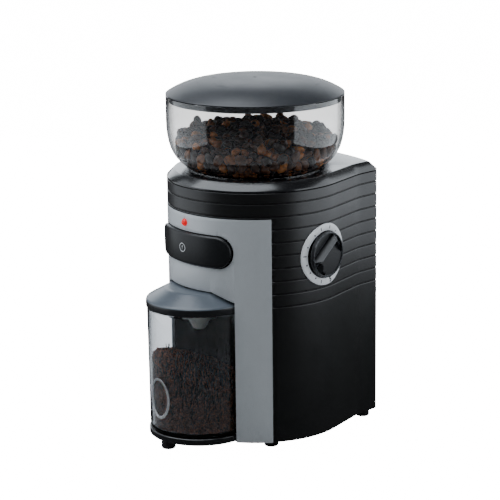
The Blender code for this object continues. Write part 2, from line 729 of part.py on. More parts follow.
def crown_ring():
    """Ring with teeth on its lower face, one gap centred over the knob's pinion."""
    pitch_z = KNOB_Z + CROWN_MODULE * KNOB_PINION_TEETH / 2
    tip_z = pitch_z - 0.6 * CROWN_MODULE
    root_z = pitch_z + 1.15 * CROWN_MODULE
    step = math.tau / CROWN_TEETH
    quarter = step / 4 - CROWN_PLAY / (2 * CROWN_RADIUS)
    lean = math.tan(PRESSURE_ANGLE) / CROWN_RADIUS
    stations = []
    knob_direction = KNOB_ANGLE - math.pi / 2
    for i in range(CROWN_TEETH):
        middle = knob_direction + (i + 0.5) * step
        at_tip = quarter - (pitch_z - tip_z) * lean
        at_root = quarter + (root_z - pitch_z) * lean
        stations += [(middle - at_root, root_z), (middle - at_tip, tip_z)]
        stations += [(middle + at_tip, tip_z), (middle + at_root, root_z)]
    shape = bmesh.new()
    rings = []
    for angle, z in stations:
        section = []
        for radius, height in ((0.0370, z), (0.0447, z), (0.0447, RING_TOP), (0.0370, RING_TOP)):
            section.append(shape.verts.new((radius * math.cos(angle), radius * math.sin(angle), height)))
        rings.append(section)
    for i, section in enumerate(rings):
        before = rings[i - 1]
        for j in range(4):
            shape.faces.new((before[j - 1], before[j], section[j], section[j - 1]))
    return shape


def mechanism_frame(root, plastic, metal):
    """Chassis plate, gearbox cover, shaft bracket and hopper collar."""
    floor = prism(body_outline(LINER_GAP), CHASSIS_BOTTOM, CHASSIS_TOP)
    chassis = place("chassis_plate", floor, root, surface=plastic)
    cuts = [
        block((-0.013, -0.075, 0.120), (0.013, -0.0495, 0.150)),
        cylinder(0.0063, 0.120, 0.150, 16),
        cylinder(0.0070, 0.120, 0.150, 16, (0.0, MOTOR_Y)),
    ]
    cuts += [cylinder(COLUMN_HOLE, 0.120, 0.150, SMALL, at) for at in column_places()]
    cuts += [cylinder(COLUMN_HOLE, 0.120, 0.150, SMALL, (x, MOTOR_Y + 0.006)) for x in (0.017, -0.017)]
    combine(chassis, place("chassis_holes", merged(cuts), root), "DIFFERENCE")

    idler_at = idler_place()
    lobes = ((0.0, 0.0, 0.0225), (*idler_at, 0.0218), (0.0, MOTOR_Y, 0.0100))
    cover = place("gearbox_cover", hull_of(lobes, 0.0, CHASSIS_TOP + GAP, GEARBOX_TOP), root, surface=plastic)
    inside = hull_of(lobes, 0.0015, CHASSIS_TOP - 0.002, GEARBOX_TOP - 0.002)
    combine(cover, place("gearbox_hollow", inside, root), "DIFFERENCE")
    combine(cover, place("gearbox_shaft_hole", cylinder(0.0046, 0.140, 0.160, 16), root), "DIFFERENCE")

    bracket = along_knob(block((-0.007, CHASSIS_TOP + GAP - KNOB_Z, 0.049), (0.007, 0.006, 0.052)))
    plate = place("shaft_bracket", bracket, root, surface=metal)
    hole = along_knob(cylinder(0.0034, 0.040, 0.060, 16))
    combine(plate, place("bracket_hole", hole, root), "DIFFERENCE")

    collar = [
        (0.0243, 0.180),
        (0.0257, 0.180),
        (0.0257, 0.212),
        (0.0320, 0.212),
        (0.0320, 0.2144),
        (0.0257, 0.2144),
        (0.0257, COVER_TOP),
        (0.0243, COVER_TOP),
    ]
    place("hopper_collar", turned(collar, 24), root, surface=plastic)


def hull_of(circles, inset, low, high):
    """Convex prism round several circles given as (x, y, radius)."""
    shape = bmesh.new()
    for x, y, radius in circles:
        for px, py in circle(radius - inset, COARSE):
            for z in (low, high):
                shape.verts.new((x + px, y + py, z))
    hull = bmesh.ops.convex_hull(shape, input=shape.verts, use_existing_faces=False)
    spare = [item for item in hull["geom_interior"] if isinstance(item, bmesh.types.BMVert)]
    bmesh.ops.delete(shape, geom=spare, context="VERTS")
    loose = [vert for vert in shape.verts if not vert.link_faces]
    bmesh.ops.delete(shape, geom=loose, context="VERTS")
    bmesh.ops.dissolve_limit(shape, angle_limit=0.001, verts=shape.verts, edges=shape.edges)
    return shape


def dial_parts(root, axis, silver, plastic, nylon, metal):
    """Fixed silver ring wrapped on the body, and the knob with its shaft and pinion."""
    circles = (circle(DIAL_OUTER_RADIUS, FINE), circle(DIAL_INNER_RADIUS, FINE))
    tube = along_knob(walls(*circles, FRONT_RADIUS - 0.012, FRONT_RADIUS + 0.012))
    ring = place("dial_ring", tube, root, surface=silver)
    low, high = KNOB_Z - 0.030, KNOB_Z + 0.030
    combine(ring, place("dial_face", prism(body_outline(-DIAL_PROUD), low, high), root), "INTERSECT")
    combine(ring, place("dial_back", prism(body_outline(-GAP), low - 0.01, high + 0.01), root), "DIFFERENCE")

    knob = place("grind_knob", knob_disc(), axis, surface=plastic)
    bar = place("knob_bar", knob_bar(), axis)
    combine(knob, bar, "UNION")
    combine(knob, place("knob_socket", cylinder(0.0033, -0.010, 0.0026, 16), axis), "DIFFERENCE")
    inner_end = 0.0375 - FRONT_RADIUS
    place("knob_shaft", cylinder(0.003, inner_end, 0.0022, 16), axis, surface=metal)
    outline = gear_outline(KNOB_PINION_TEETH, CROWN_MODULE, 0.85, CROWN_PLAY, math.pi / 2)
    low, high = 0.0395 - FRONT_RADIUS, 0.0445 - FRONT_RADIUS
    bored("knob_pinion", outline, low, high, 0.0033, axis, nylon)
    return knob


def knob_disc():
    profile = [
        (0.0, KNOB_BASE),
        (KNOB_RADIUS, KNOB_BASE),
        (KNOB_RADIUS, KNOB_FACE),
        (KNOB_RADIUS - 0.001, KNOB_FACE + 0.0006),
        (KNOB_RADIUS - 0.003, KNOB_FACE),
        (0.0, KNOB_FACE - 0.0008),
    ]
    return turned(profile, FINE, closed=False)


def knob_bar():
    """Raised grip across the knob, narrower at its top."""
    sections = []
    for half_length, half_width, z in ((0.0168, 0.0052, KNOB_FACE - 0.002), (0.0160, 0.0034, KNOB_BAR_TOP)):
        ends = [(half_length, 0.0), (half_length - 0.003, half_width), (-half_length + 0.003, half_width)]
        ends += [(-half_length, 0.0), (-half_length + 0.003, -half_width), (half_length - 0.003, -half_width)]
        sections.append((ends, z))
    shape = lofted(sections)
    bmesh.ops.rotate(shape, cent=(0, 0, 0), matrix=Matrix.Rotation(KNOB_BAR_TILT, 3, "Z"), verts=shape.verts)
    return shape


def hopper_parts(bowl_parent, lid_parent, clear, dark):
    bowl = [
        (0.0235, 0.1900),
        (0.0235, 0.2175),
        (0.0530, 0.2175),
        (0.0605, 0.2232),
        (0.0658, 0.2297),
        (0.0695, 0.2395),
        (0.0712, 0.2530),
        (0.0712, 0.2762),
        (0.0690, 0.2762),
        (0.0690, 0.2530),
        (0.0673, 0.2400),
        (0.0638, 0.2308),
        (0.0589, 0.2248),
        (0.0524, 0.2203),
        (0.0213, 0.2192),
        (0.0213, 0.1900),
    ]
    place("hopper_bowl", turned(bowl, FINE), bowl_parent, surface=clear)
    edge, rim, apex = 0.0712, 0.2772, 0.2890
    dome = [(r, rim + (apex - rim) * (1 - (r / edge) ** 4)) for r in (0.0, 0.034, 0.050, 0.060, 0.067, edge)]
    inside = [(r, z - 0.0024) for r, z in reversed(dome[:4])]
    skirt = [(edge, 0.2766), (0.0684, 0.2766), (0.0684, 0.2714), (0.0666, 0.2714), (0.0666, 0.2766)]
    lid = dome + skirt + inside
    place("hopper_lid", turned(lid, FINE, closed=False), lid_parent, surface=dark)


def container_parts(parent, clear, dark, cream):
    cup = [
        (0.0, 0.0140),
        (0.0394, 0.0140),
        (0.0406, 0.0152),
        (0.0415, 0.1132),
        (0.0405, 0.1132),
        (0.0405, 0.1175),
        (0.0387, 0.1175),
        (0.0387, 0.1125),
        (0.0393, 0.1115),
        (0.0384, 0.0172),
        (0.0376, 0.0162),
        (0.0, 0.0162),
    ]
    place("container_body", turned(cup, FINE, closed=False), parent, surface=clear)
    lid = [
        (0.0122, 0.1283),
        (0.0252, 0.1283),
        (0.0270, 0.1279),
        (0.0408, 0.1204),
        (0.0418, 0.1196),
        (0.0423, 0.1184),
        (0.0423, 0.1136),
        (0.0409, 0.1136),
        (0.0409, 0.1178),
        (0.0398, 0.1186),
        (0.0264, 0.1259),
        (0.0246, 0.1263),
        (0.0122, 0.1263),
    ]
    place("container_lid", turned(lid, FINE), parent, surface=dark)
    funnel = [
        (0.0170, 0.1260),
        (0.0170, 0.1246),
        (0.0158, 0.1246),
        (0.0139, 0.1134),
        (0.0119, 0.1056),
        (0.0099, 0.1050),
        (0.0083, 0.0994),
        (0.0050, 0.0930),
        (0.0038, 0.0930),
        (0.0069, 0.1000),
        (0.0085, 0.1062),
        (0.0106, 0.1068),
        (0.0126, 0.1138),
        (0.0144, 0.1260),
    ]
    place("container_funnel", turned(funnel, COARSE), parent, surface=cream)


def cable_gland(root, surface):
    """Rubber bush in the rear wall that a mains lead would pass through."""
    outer = REAR_Y + GAP
    inner = REAR_Y - WALL - GAP
    profile = [
        (0.0036, outer + 0.0012),
        (0.0070, outer + 0.0012),
        (0.0070, outer),
        (0.0052, outer),
        (0.0052, inner),
        (0.0070, inner),
        (0.0070, inner - 0.0012),
        (0.0036, inner - 0.0012),
    ]
    shape = turned(profile, SMALL)
    tilt = Matrix.Rotation(math.radians(-90.0), 3, "X")
    bmesh.ops.rotate(shape, cent=(0, 0, 0), matrix=tilt, verts=shape.verts)
    place("cable_gland", shape, root, (0.0, 0.0, 0.028), surface)


def fasteners(root, steel):
    names = ("front_right", "front_left", "rear_right", "rear_left")
    for name, at in zip(names, column_places()):
        screw(f"base_screw_{name}", root, at, 0.0082, True, 0.014, steel)
        screw(f"chassis_screw_{name}", root, at, CHASSIS_TOP + GAP + 0.0014, False, 0.014, steel)
    for name, x in (("right", 0.017), ("left", -0.017)):
        at = (x, MOTOR_Y + 0.006)
        screw(f"motor_screw_{name}", root, at, CHASSIS_TOP + GAP + 0.0014, False, 0.0068, steel)


def build():
    clear_scene()
    black = material("black_plastic", (0.022, 0.024, 0.028), 0.42)
    satin_black = material("satin_black", (0.016, 0.017, 0.019), 0.30)
    silver = material("satin_silver", (0.45, 0.47, 0.48), 0.36, 0.75)
    bright = material("dial_silver", (0.66, 0.68, 0.70), 0.35, 0.4)
    clear = material("clear_plastic", (0.92, 0.94, 0.95), 0.05, alpha=0.25)
    smoky = material("smoky_plastic", (0.30, 0.31, 0.33), 0.06, alpha=0.45)
    cream = material("cream_plastic", (0.72, 0.72, 0.64), 0.5)
    rubber = material("black_rubber", (0.015, 0.015, 0.015), 0.8)
    red = material("red_lens", (0.75, 0.02, 0.02), 0.15)
    green = material("board_green", (0.02, 0.16, 0.06), 0.5)
    steel = material("steel", (0.55, 0.56, 0.58), 0.35, 1.0)
    burr_steel = material("burr_steel", (0.36, 0.36, 0.38), 0.4, 1.0)
    copper = material("copper", (0.65, 0.32, 0.14), 0.4, 1.0)
    nylon = material("white_nylon", (0.80, 0.80, 0.76), 0.5)

    grinder = empty("grinder", location=(BURR_AXIS_X, BURR_AXIS_Y, 0.0))
    button_axis = empty("button_axis", grinder, (0.0, 0.0, BUTTON_Z))
    container = empty("container", grinder, (0.0, BAY_Y, 0.0))
    hopper = empty("hopper", grinder)
    lid = empty("lid", hopper)
    rotor = empty("rotor", grinder, (0.0, MOTOR_Y, 0.0))
    idler = empty("idler", grinder, (*idler_place(), 0.0))
    spindle = empty("spindle", grinder)
    carrier = empty("carrier", grinder)
    ring = empty("ring", grinder)
    knob_axis = empty("knob_axis", grinder)
    knob_axis.matrix_basis = knob_frame() @ Matrix.Translation((0.0, 0.0, FRONT_RADIUS))
    bpy.context.view_layer.update()

    housing_shell(grinder, black)
    top_cover(grinder, satin_black)
    front_panel(grinder, silver)
    container_bay(grinder, black)
    base_plate(grinder, black)
    feet(grinder, rubber)
    mechanism_frame(grinder, black, steel)
    drive_train(grinder, rotor, idler, spindle, steel, black, nylon, copper)
    grinding_parts(grinder, spindle, carrier, ring, burr_steel, black, nylon)
    power_parts(grinder, button_axis, satin_black, red, green, steel)
    dial_parts(grinder, knob_axis, bright, satin_black, nylon, steel)
    hopper_parts(hopper, lid, clear, black)
    container_parts(container, smoky, satin_black, cream)
    cable_gland(grinder, rubber)
    fasteners(grinder, steel)


build()
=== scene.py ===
import random
from math import asin, atan2, cos, exp, hypot, pi, radians, sin, sqrt, tan, tau

import bmesh
import bpy
import numpy as np
from mathutils import Matrix, Vector, noise


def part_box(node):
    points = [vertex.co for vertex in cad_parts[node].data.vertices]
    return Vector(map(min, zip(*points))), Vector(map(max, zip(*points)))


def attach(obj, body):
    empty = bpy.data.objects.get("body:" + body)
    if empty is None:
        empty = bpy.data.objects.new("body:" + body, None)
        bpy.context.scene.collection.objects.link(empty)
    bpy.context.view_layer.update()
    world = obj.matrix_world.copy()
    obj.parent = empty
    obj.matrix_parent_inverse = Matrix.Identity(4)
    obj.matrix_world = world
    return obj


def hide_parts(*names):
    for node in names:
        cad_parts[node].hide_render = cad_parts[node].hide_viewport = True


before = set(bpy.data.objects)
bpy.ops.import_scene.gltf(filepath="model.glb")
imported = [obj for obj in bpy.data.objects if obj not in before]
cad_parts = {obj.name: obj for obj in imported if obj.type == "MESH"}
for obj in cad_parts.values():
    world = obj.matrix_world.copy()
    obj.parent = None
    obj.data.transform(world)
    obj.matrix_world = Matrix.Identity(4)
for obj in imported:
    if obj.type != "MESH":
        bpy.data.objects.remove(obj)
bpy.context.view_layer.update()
mm = 0.001


def middleOf(node):
    low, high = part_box(node)
    return Vector(((low[0] + high[0]) / 2, (low[1] + high[1]) / 2, 0.0))


burrAxis = middleOf("hopper_bowl")  # the upright axis of hopper, burrs and front curve
bayAxis = middleOf("container_body")  # the upright axis of the container
origin = Vector((0, 0, 0))
cameraLook = {
    "azimuth": 52.0, "elevation": 13.83, "distance": 1.6, "lens": 142.4, "roll": -0.678, "aimHeight": 0.1479,
    "aimAside": -0.00544,
}


def placeCamera():
    turn = radians(cameraLook["azimuth"])
    rise = radians(cameraLook["elevation"])
    roll = radians(cameraLook["roll"])
    back = Vector((sin(turn) * cos(rise), -cos(turn) * cos(rise), sin(rise)))
    level = Vector((cos(turn), sin(turn), 0.0))
    upright = back.cross(level)
    right = level * cos(roll) + upright * sin(roll)
    up = upright * cos(roll) - level * sin(roll)
    aim = burrAxis + Vector((0.0, 0.0, cameraLook["aimHeight"])) + level * cameraLook["aimAside"]
    data = bpy.data.cameras.new("camera")
    data.lens = cameraLook["lens"]
    data.clip_start = 0.05
    camera = bpy.data.objects.new("camera", data)
    axes = Matrix((right, up, back)).transposed().to_4x4()
    camera.matrix_world = Matrix.Translation(aim + back * cameraLook["distance"]) @ axes
    bpy.context.scene.collection.objects.link(camera)
    bpy.context.scene.camera = camera


softboxes = {
    "topBox": {"azimuth": -12, "distance": 0.32, "height": 0.95, "aim": 0.16, "size": (1.0, 0.95), "power": 11.0},
    "leftBox": {"azimuth": -42, "distance": 0.5, "height": 0.32, "aim": 0.32, "size": (0.6, 0.58), "power": 1.15},
    "rightBox": {"azimuth": 138, "distance": 0.38, "height": 0.295, "aim": 0.295, "size": (0.6, 0.44), "power": 1.35},
    "backBox": {"azimuth": 232, "distance": 1.2, "height": 0.55, "aim": 0.16, "size": (1.6, 0.7), "power": 7.5},
}
boxTint = (0.88, 0.94, 1.0)


def hangSoftbox(name, look):
    turn = radians(look["azimuth"])
    data = bpy.data.lights.new(name, "AREA")
    data.shape = "RECTANGLE"
    data.size, data.size_y = look["size"]
    data.energy = look["power"]
    data.color = boxTint
    box = bpy.data.objects.new(name, data)
    place = burrAxis + Vector((sin(turn), -cos(turn), 0.0)) * look["distance"]
    place.z = look["height"]
    aim = burrAxis + Vector((0.0, 0.0, look["aim"]))
    box.rotation_euler = (aim - place).to_track_quat("-Z", "Y").to_euler()
    box.location = place
    box.visible_camera = False
    box.visible_transmission = name != "backBox"
    bpy.context.scene.collection.objects.link(box)


def plug(tree, socket, value):
    # a node gives its first output, a plain colour gets its alpha, and any other value is set as it is
    if isinstance(value, bpy.types.Node):
        value = value.outputs[0]
    if isinstance(value, bpy.types.NodeSocket):
        tree.links.new(value, socket)
    elif socket.type == "RGBA":
        socket.default_value = (*value, 1.0)
    else:
        socket.default_value = value


def addNode(tree, kind, inputs=None, **settings):
    # one shader node: values, nodes and sockets by the name or number of the input
    node = tree.nodes.new("ShaderNode" + kind)
    for key, value in settings.items():
        setattr(node, key, value)
    for key, value in (inputs or {}).items():
        plug(tree, node.inputs[key], value)
    return node


def calc(tree, operation, *values):
    return addNode(tree, "Math", dict(enumerate(values)), operation=operation)


def remap(tree, value, low=0.0, high=1.0, start=0.0, end=1.0):
    limits = {"From Min": low, "From Max": high, "To Min": start, "To Max": end}
    return addNode(tree, "MapRange", {"Value": value, **limits})


studio = {"floorSize": 6.0, "paper": (0.60, 0.60, 0.60), "seen": 16.0, "seenThroughGlass": 1.7, "dimLight": 0.035}
white = (1.0, 1.0, 1.0)


def paperGlow(tree, rest):
    # white where the camera looks, less so through glass, and only dim for the light it gives
    path = addNode(tree, "LightPath").outputs
    turns = calc(tree, "ADD", path["Diffuse Depth"], path["Glossy Depth"])
    glass = calc(tree, "MULTIPLY", path["Is Transmission Ray"], calc(tree, "LESS_THAN", turns, 0.5))
    through = remap(tree, glass, start=rest, end=studio["seenThroughGlass"])
    return calc(tree, "MULTIPLY_ADD", path["Is Camera Ray"], studio["seen"], through)


def startSurface(name):
    surface = bpy.data.materials.new(name)
    surface.use_nodes = True
    return surface, surface.node_tree


def setShader(tree, values):
    shader = tree.nodes["Principled BSDF"]
    for key, value in values.items():
        plug(tree, shader.inputs[key], value)


def buildStudio():
    scene = bpy.context.scene
    scene.world = bpy.data.worlds.new("studio")
    scene.world.use_nodes = True
    tree = scene.world.node_tree
    tree.nodes.clear()
    glow = addNode(tree, "Background", {"Color": white, "Strength": paperGlow(tree, studio["dimLight"])})
    addNode(tree, "OutputWorld", {"Surface": glow})

    bm = bmesh.new()
    bmesh.ops.create_grid(bm, x_segments=2, y_segments=2, size=studio["floorSize"] / 2)
    mesh = bpy.data.meshes.new("floor")
    bm.to_mesh(mesh)
    bm.free()
    floor = bpy.data.objects.new("floor", mesh)
    floor.visible_glossy = False
    scene.collection.objects.link(floor)
    paper, tree = startSurface("whitePaper")
    setShader(tree, {"Base Color": studio["paper"], "Roughness": 0.9, "Emission Color": white,
                     "Emission Strength": paperGlow(tree, 0.0)})
    mesh.materials.append(paper)


placeCamera()
for boxName, boxLook in softboxes.items():
    hangSoftbox(boxName, boxLook)
buildStudio()
print("camera, softboxes and floor are set")


def startGroup(name, given, made):
    # given holds the inputs with their first values, made holds the kinds of the outputs
    group = bpy.data.node_groups.new(name, "ShaderNodeTree")
    for label, value in given.items():
        kind = "NodeSocketColor" if isinstance(value, tuple) else "NodeSocketFloat"
        group.interface.new_socket(label, in_out="INPUT", socket_type=kind).default_value = value
    for label, kind in made.items():
        group.interface.new_socket(label, in_out="OUTPUT", socket_type="NodeSocket" + kind)
    return group, group.nodes.new("NodeGroupInput").outputs, group.nodes.new("NodeGroupOutput").inputs


def objectPlace(tree):
    return addNode(tree, "TexCoord").outputs["Object"]


def upward(tree):
    # how far the surface looks up, 1 where it is level
    normal = addNode(tree, "NewGeometry").outputs["Normal"]
    return addNode(tree, "SeparateXYZ", {0: normal}).outputs["Z"]


def cloud(tree, place, scale, detail, roughness=0.5):
    return addNode(tree, "TexNoise", {"Vector": place, "Scale": scale, "Detail": detail, "Roughness": roughness})


def relief(tree, height, distance, strength):
    return addNode(tree, "Bump", {"Height": height, "Distance": distance, "Strength": strength})


def buildGrain():
    # moulded or painted skin: slight mottling, uneven gloss and a fine relief
    given = {"Colour": (0.5, 0.5, 0.5, 1.0), "Grain Scale": 2500.0, "Mottle": 0.1, "Roughness": 0.4,
             "Spread": 0.1, "Relief": 0.2}
    made = {"Colour": "Color", "Roughness": "Float", "Normal": "Vector"}
    group, given, made = startGroup("surfaceGrain", given, made)
    place = objectPlace(group)
    fine = cloud(group, place, given["Grain Scale"], 2.0)
    around = calc(group, "SUBTRACT", cloud(group, place, 55.0, 4.0, 0.6), 0.5)
    shade = calc(group, "MULTIPLY_ADD", around, given["Mottle"], 1.0)
    plug(group, made["Colour"], addNode(group, "HueSaturation", {"Color": given["Colour"], "Value": shade}))
    both = calc(group, "ADD", calc(group, "SUBTRACT", fine, 0.5), around)
    plug(group, made["Roughness"], calc(group, "MULTIPLY_ADD", both, given["Spread"], given["Roughness"]))
    plug(group, made["Normal"], relief(group, fine, 0.00005, given["Relief"]))
    return group


def buildWear():
    # where corners are rubbed: the difference between the true and the rounded normal
    group, given, made = startGroup("edgeWear", {"Width": 0.0005, "Amount": 0.5}, {"Mask": "Float"})
    rounded = addNode(group, "Bevel", {"Radius": given["Width"]}, samples=4)
    true = addNode(group, "NewGeometry").outputs["Normal"]
    match = addNode(group, "VectorMath", {0: rounded, 1: true}, operation="DOT_PRODUCT")
    edge = remap(group, match.outputs["Value"], 0.995, 0.90)
    patchy = remap(group, cloud(group, objectPlace(group), 420.0, 3.0), 0.35, 0.65)
    worn = calc(group, "MULTIPLY", edge, patchy)
    plug(group, made["Mask"], calc(group, "MULTIPLY", worn, given["Amount"]))
    return group


def buildDust():
    # lint and coffee dust that settles on what faces up
    group, given, made = startGroup("settledDust", {"Amount": 0.1}, {"Mask": "Float"})
    place = objectPlace(group)
    drift = remap(group, cloud(group, place, 38.0, 6.0, 0.7), 0.42, 0.75)
    specks = addNode(group, "TexVoronoi", {"Vector": place, "Scale": 420.0})
    dots = remap(group, specks.outputs["Distance"], 0.16, 0.10)
    lying = calc(group, "MULTIPLY", calc(group, "ADD", drift, dots), remap(group, upward(group), 0.5, 1.0))
    plug(group, made["Mask"], calc(group, "MULTIPLY", lying, given["Amount"]))
    return group


def buildScratches():
    # hairline scuffs in two directions
    group, given, made = startGroup("hairScratches", {"Amount": 0.1}, {"Mask": "Float"})
    place = objectPlace(group)
    lines = []
    for tilt in (0.5, -0.9):
        turned = addNode(group, "Mapping", {"Vector": place, "Rotation": (tilt, tilt, 0.3),
                "Scale": (1.0, 1.0, 30.0)})
        lines.append(remap(group, cloud(group, turned, 60.0, 3.0), 0.66, 0.72))
    plug(group, made["Mask"], calc(group, "MULTIPLY", calc(group, "MAXIMUM", *lines), given["Amount"]))
    return group


grainGroup = buildGrain()
wearGroup = buildWear()
dustGroup = buildDust()
scratchGroup = buildScratches()


def useGroup(tree, group, **values):
    node = addNode(tree, "Group", node_tree=group)
    for key, value in values.items():
        plug(tree, node.inputs[key.replace("_", " ")], value)
    return node


def mixColour(tree, factor, first, second):
    return addNode(tree, "Mix", {0: factor, 6: first, 7: second}, data_type="RGBA").outputs[2]


plainSkin = {
    "grain": 2600.0, "mottle": 0.12, "spread": 0.10, "relief": 0.15, "wear": 0.3, "wearWidth": 0.0004,
    "wearColour": (0.3, 0.3, 0.3), "dust": 0.05, "scratches": 0.06, "metallic": 0.0, "ior": 1.5, "coat": 0.0,
    "coatRoughness": 0.1, "soft": 0.0,
}
dustColour = (0.30, 0.27, 0.24)
softDepth = (0.004, 0.003, 0.002)  # how far light goes into the softer plastics


def skinFinish(name, look):
    # plastic, rubber, paint or metal: grain everywhere, worn edges, dust on top and a few scratches
    look = {**plainSkin, **look}
    surface, tree = startSurface(name)
    grain = useGroup(tree, grainGroup, Colour=look["colour"], Grain_Scale=look["grain"], Mottle=look["mottle"],
            Roughness=look["roughness"], Spread=look["spread"], Relief=look["relief"])
    wear = useGroup(tree, wearGroup, Width=look["wearWidth"], Amount=look["wear"])
    dust = useGroup(tree, dustGroup, Amount=look["dust"])
    scratch = useGroup(tree, scratchGroup, Amount=look["scratches"])
    if "below" in look:  # painted sheen: the lighter colour above the given height stands in for the top light's reflection, the plastic's own darker colour lies below
        height = addNode(tree, "SeparateXYZ", {0: objectPlace(tree)}).outputs["Z"]
        upper = calc(tree, "GREATER_THAN", height, look["split"] * mm)
        plug(tree, grain.inputs["Colour"], mixColour(tree, upper, look["below"], look["colour"]))
    worn = mixColour(tree, wear, grain.outputs["Colour"], look["wearColour"])
    setShader(tree, {
        "Base Color": mixColour(tree, dust, worn, dustColour),
        "Roughness": calc(tree, "ADD", grain.outputs["Roughness"], scratch),
        "Normal": grain.outputs["Normal"],
        "Metallic": look["metallic"],
        "IOR": look["ior"],
        "Coat Weight": look["coat"],
        "Coat Roughness": look["coatRoughness"],
        "Subsurface Weight": look["soft"],
        "Subsurface Radius": softDepth,
    })
    return surface


skins = {
    "bodyPlastic": {"colour": (0.0038, 0.0040, 0.0046), "roughness": 0.37, "ior": 1.75, "grain": 3200,
        "relief": 0.10, "wear": 0.22, "wearColour": (0.09, 0.09, 0.095), "dust": 0.03},
    "coverPlastic": {"colour": (0.008, 0.0085, 0.010), "roughness": 0.25, "coat": 0.8, "coatRoughness": 0.16,
        "grain": 3600, "relief": 0.06, "wear": 0.25, "wearColour": (0.10, 0.10, 0.11), "dust": 0.05},
    "panelMetal": {"colour": (0.62, 0.645, 0.665), "roughness": 0.46, "grain": 5200, "relief": 0.10,
        "mottle": 0.05, "spread": 0.12, "metallic": 0.35, "wear": 0.5, "wearColour": (0.75, 0.76, 0.77),
        "dust": 0.0, "scratches": 0.03},
    "dialMetal": {"colour": (0.93, 0.94, 0.95), "roughness": 0.40, "grain": 4200, "relief": 0.08,
        "mottle": 0.05, "metallic": 0.10, "wear": 0.4, "wearColour": (0.85, 0.86, 0.87), "dust": 0.0},
    # the knob's light bluish edge colour is partly rubbed edges and partly a painted edge highlight along the grip
    "knobPlastic": {"colour": (0.010, 0.011, 0.013), "roughness": 0.30, "wearWidth": 0.0006, "grain": 3800,
        "relief": 0.06, "wear": 0.8, "wearColour": (0.34, 0.37, 0.41), "dust": 0.02},
    "buttonPlastic": {"colour": (0.008, 0.0085, 0.010), "roughness": 0.33, "grain": 3800, "relief": 0.05,
        "wear": 0.4, "wearColour": (0.12, 0.125, 0.13), "dust": 0.02},
    "symbolInk": {"colour": (0.62, 0.63, 0.64), "roughness": 0.5, "grain": 5000, "relief": 0.04, "dust": 0.0,
        "wear": 0.0},
    "dialInk": {"colour": (0.03, 0.03, 0.035), "roughness": 0.5, "grain": 5000, "relief": 0.04, "dust": 0.0,
        "wear": 0.0},
    "lidPlastic": {"colour": (0.022, 0.025, 0.031), "roughness": 0.41, "ior": 1.58, "grain": 2600,
        "relief": 0.16, "mottle": 0.10, "wear": 0.15, "wearColour": (0.09, 0.09, 0.1), "dust": 0.06},
    # the lid's light blue-grey colour is a painted reflection of the top light on black plastic, the near-black below
    # the split is its own colour
    "containerLidPlastic": {"colour": (0.088, 0.106, 0.128), "roughness": 0.30, "ior": 1.6, "below": (0.010,
        0.011, 0.013), "split": 118.9, "grain": 3400, "relief": 0.06, "wear": 0.5, "wearColour": (0.20, 0.22,
        0.24), "dust": 0.03},
    "creamPlastic": {"colour": (0.84, 0.85, 0.76), "roughness": 0.42, "grain": 3000, "relief": 0.08,
        "wear": 0.0, "dust": 0.25, "soft": 0.15},
    "rubber": {"colour": (0.013, 0.013, 0.014), "roughness": 0.62, "grain": 1800, "relief": 0.30,
        "wear": 0.3, "wearColour": (0.05, 0.05, 0.05), "dust": 0.2},
    "boardGreen": {"colour": (0.012, 0.11, 0.045), "roughness": 0.40, "grain": 900, "mottle": 0.5,
        "relief": 0.2},
    "steel": {"colour": (0.52, 0.53, 0.55), "roughness": 0.32, "grain": 2200, "metallic": 1.0,
        "relief": 0.08, "spread": 0.2, "wear": 0.3, "wearColour": (0.75, 0.75, 0.76), "scratches": 0.15},
    "burrSteel": {"colour": (0.34, 0.34, 0.36), "roughness": 0.36, "grain": 1800, "metallic": 1.0,
        "relief": 0.14, "spread": 0.25, "wear": 0.6, "wearColour": (0.62, 0.62, 0.64), "scratches": 0.2,
        "dust": 0.5},
    "bronze": {"colour": (0.42, 0.27, 0.12), "roughness": 0.42, "grain": 3000, "metallic": 1.0,
        "relief": 0.3, "mottle": 0.3},
    "copper": {"colour": (0.62, 0.29, 0.13), "roughness": 0.36, "grain": 1400, "metallic": 1.0,
        "relief": 0.4, "mottle": 0.3},
    "nylon": {"colour": (0.74, 0.74, 0.69), "roughness": 0.46, "grain": 2400, "relief": 0.1, "soft": 0.2,
        "dust": 0.3},
    "carrierPlastic": {"colour": (0.045, 0.045, 0.05), "roughness": 0.5, "grain": 2600, "relief": 0.2,
        "dust": 0.3},
}
finishes = {name: skinFinish(name, look) for name, look in skins.items()}
clears = {
    "bowlClear": {"colour": (0.985, 0.99, 0.99), "roughness": 0.015, "scratches": 0.05},
    "containerClear": {"colour": (0.69, 0.71, 0.735), "roughness": 0.03, "scratches": 0.10},
    "markClear": {"colour": (0.96, 0.97, 0.98), "roughness": 0.32, "scratches": 0.10, "clarity": 0.8},
    "lampRed": {"colour": (0.75, 0.012, 0.018), "roughness": 0.08, "scratches": 0.02, "clarity": 0.3,
                "glow": (1.0, 0.015, 0.02), "glowStrength": 0.35},
}


def clearFinish(name, look):
    # transparent moulding with faint scuffs and a slight waviness
    surface, tree = startSurface(name)
    setShader(tree, {
        "Base Color": look["colour"],
        "Transmission Weight": look.get("clarity", 1.0),
        "IOR": 1.49,  # acrylic
        "Roughness": calc(tree, "ADD", useGroup(tree, scratchGroup, Amount=look["scratches"]), look["roughness"]),
        "Normal": relief(tree, cloud(tree, objectPlace(tree), 45.0, 1.0), 0.0001, 0.25),
        "Emission Color": look.get("glow", white),
        "Emission Strength": look.get("glowStrength", 0.0),
    })
    return surface


for clearName, clearLook in clears.items():
    finishes[clearName] = clearFinish(clearName, clearLook)
print("finishes are mixed:", len(finishes))


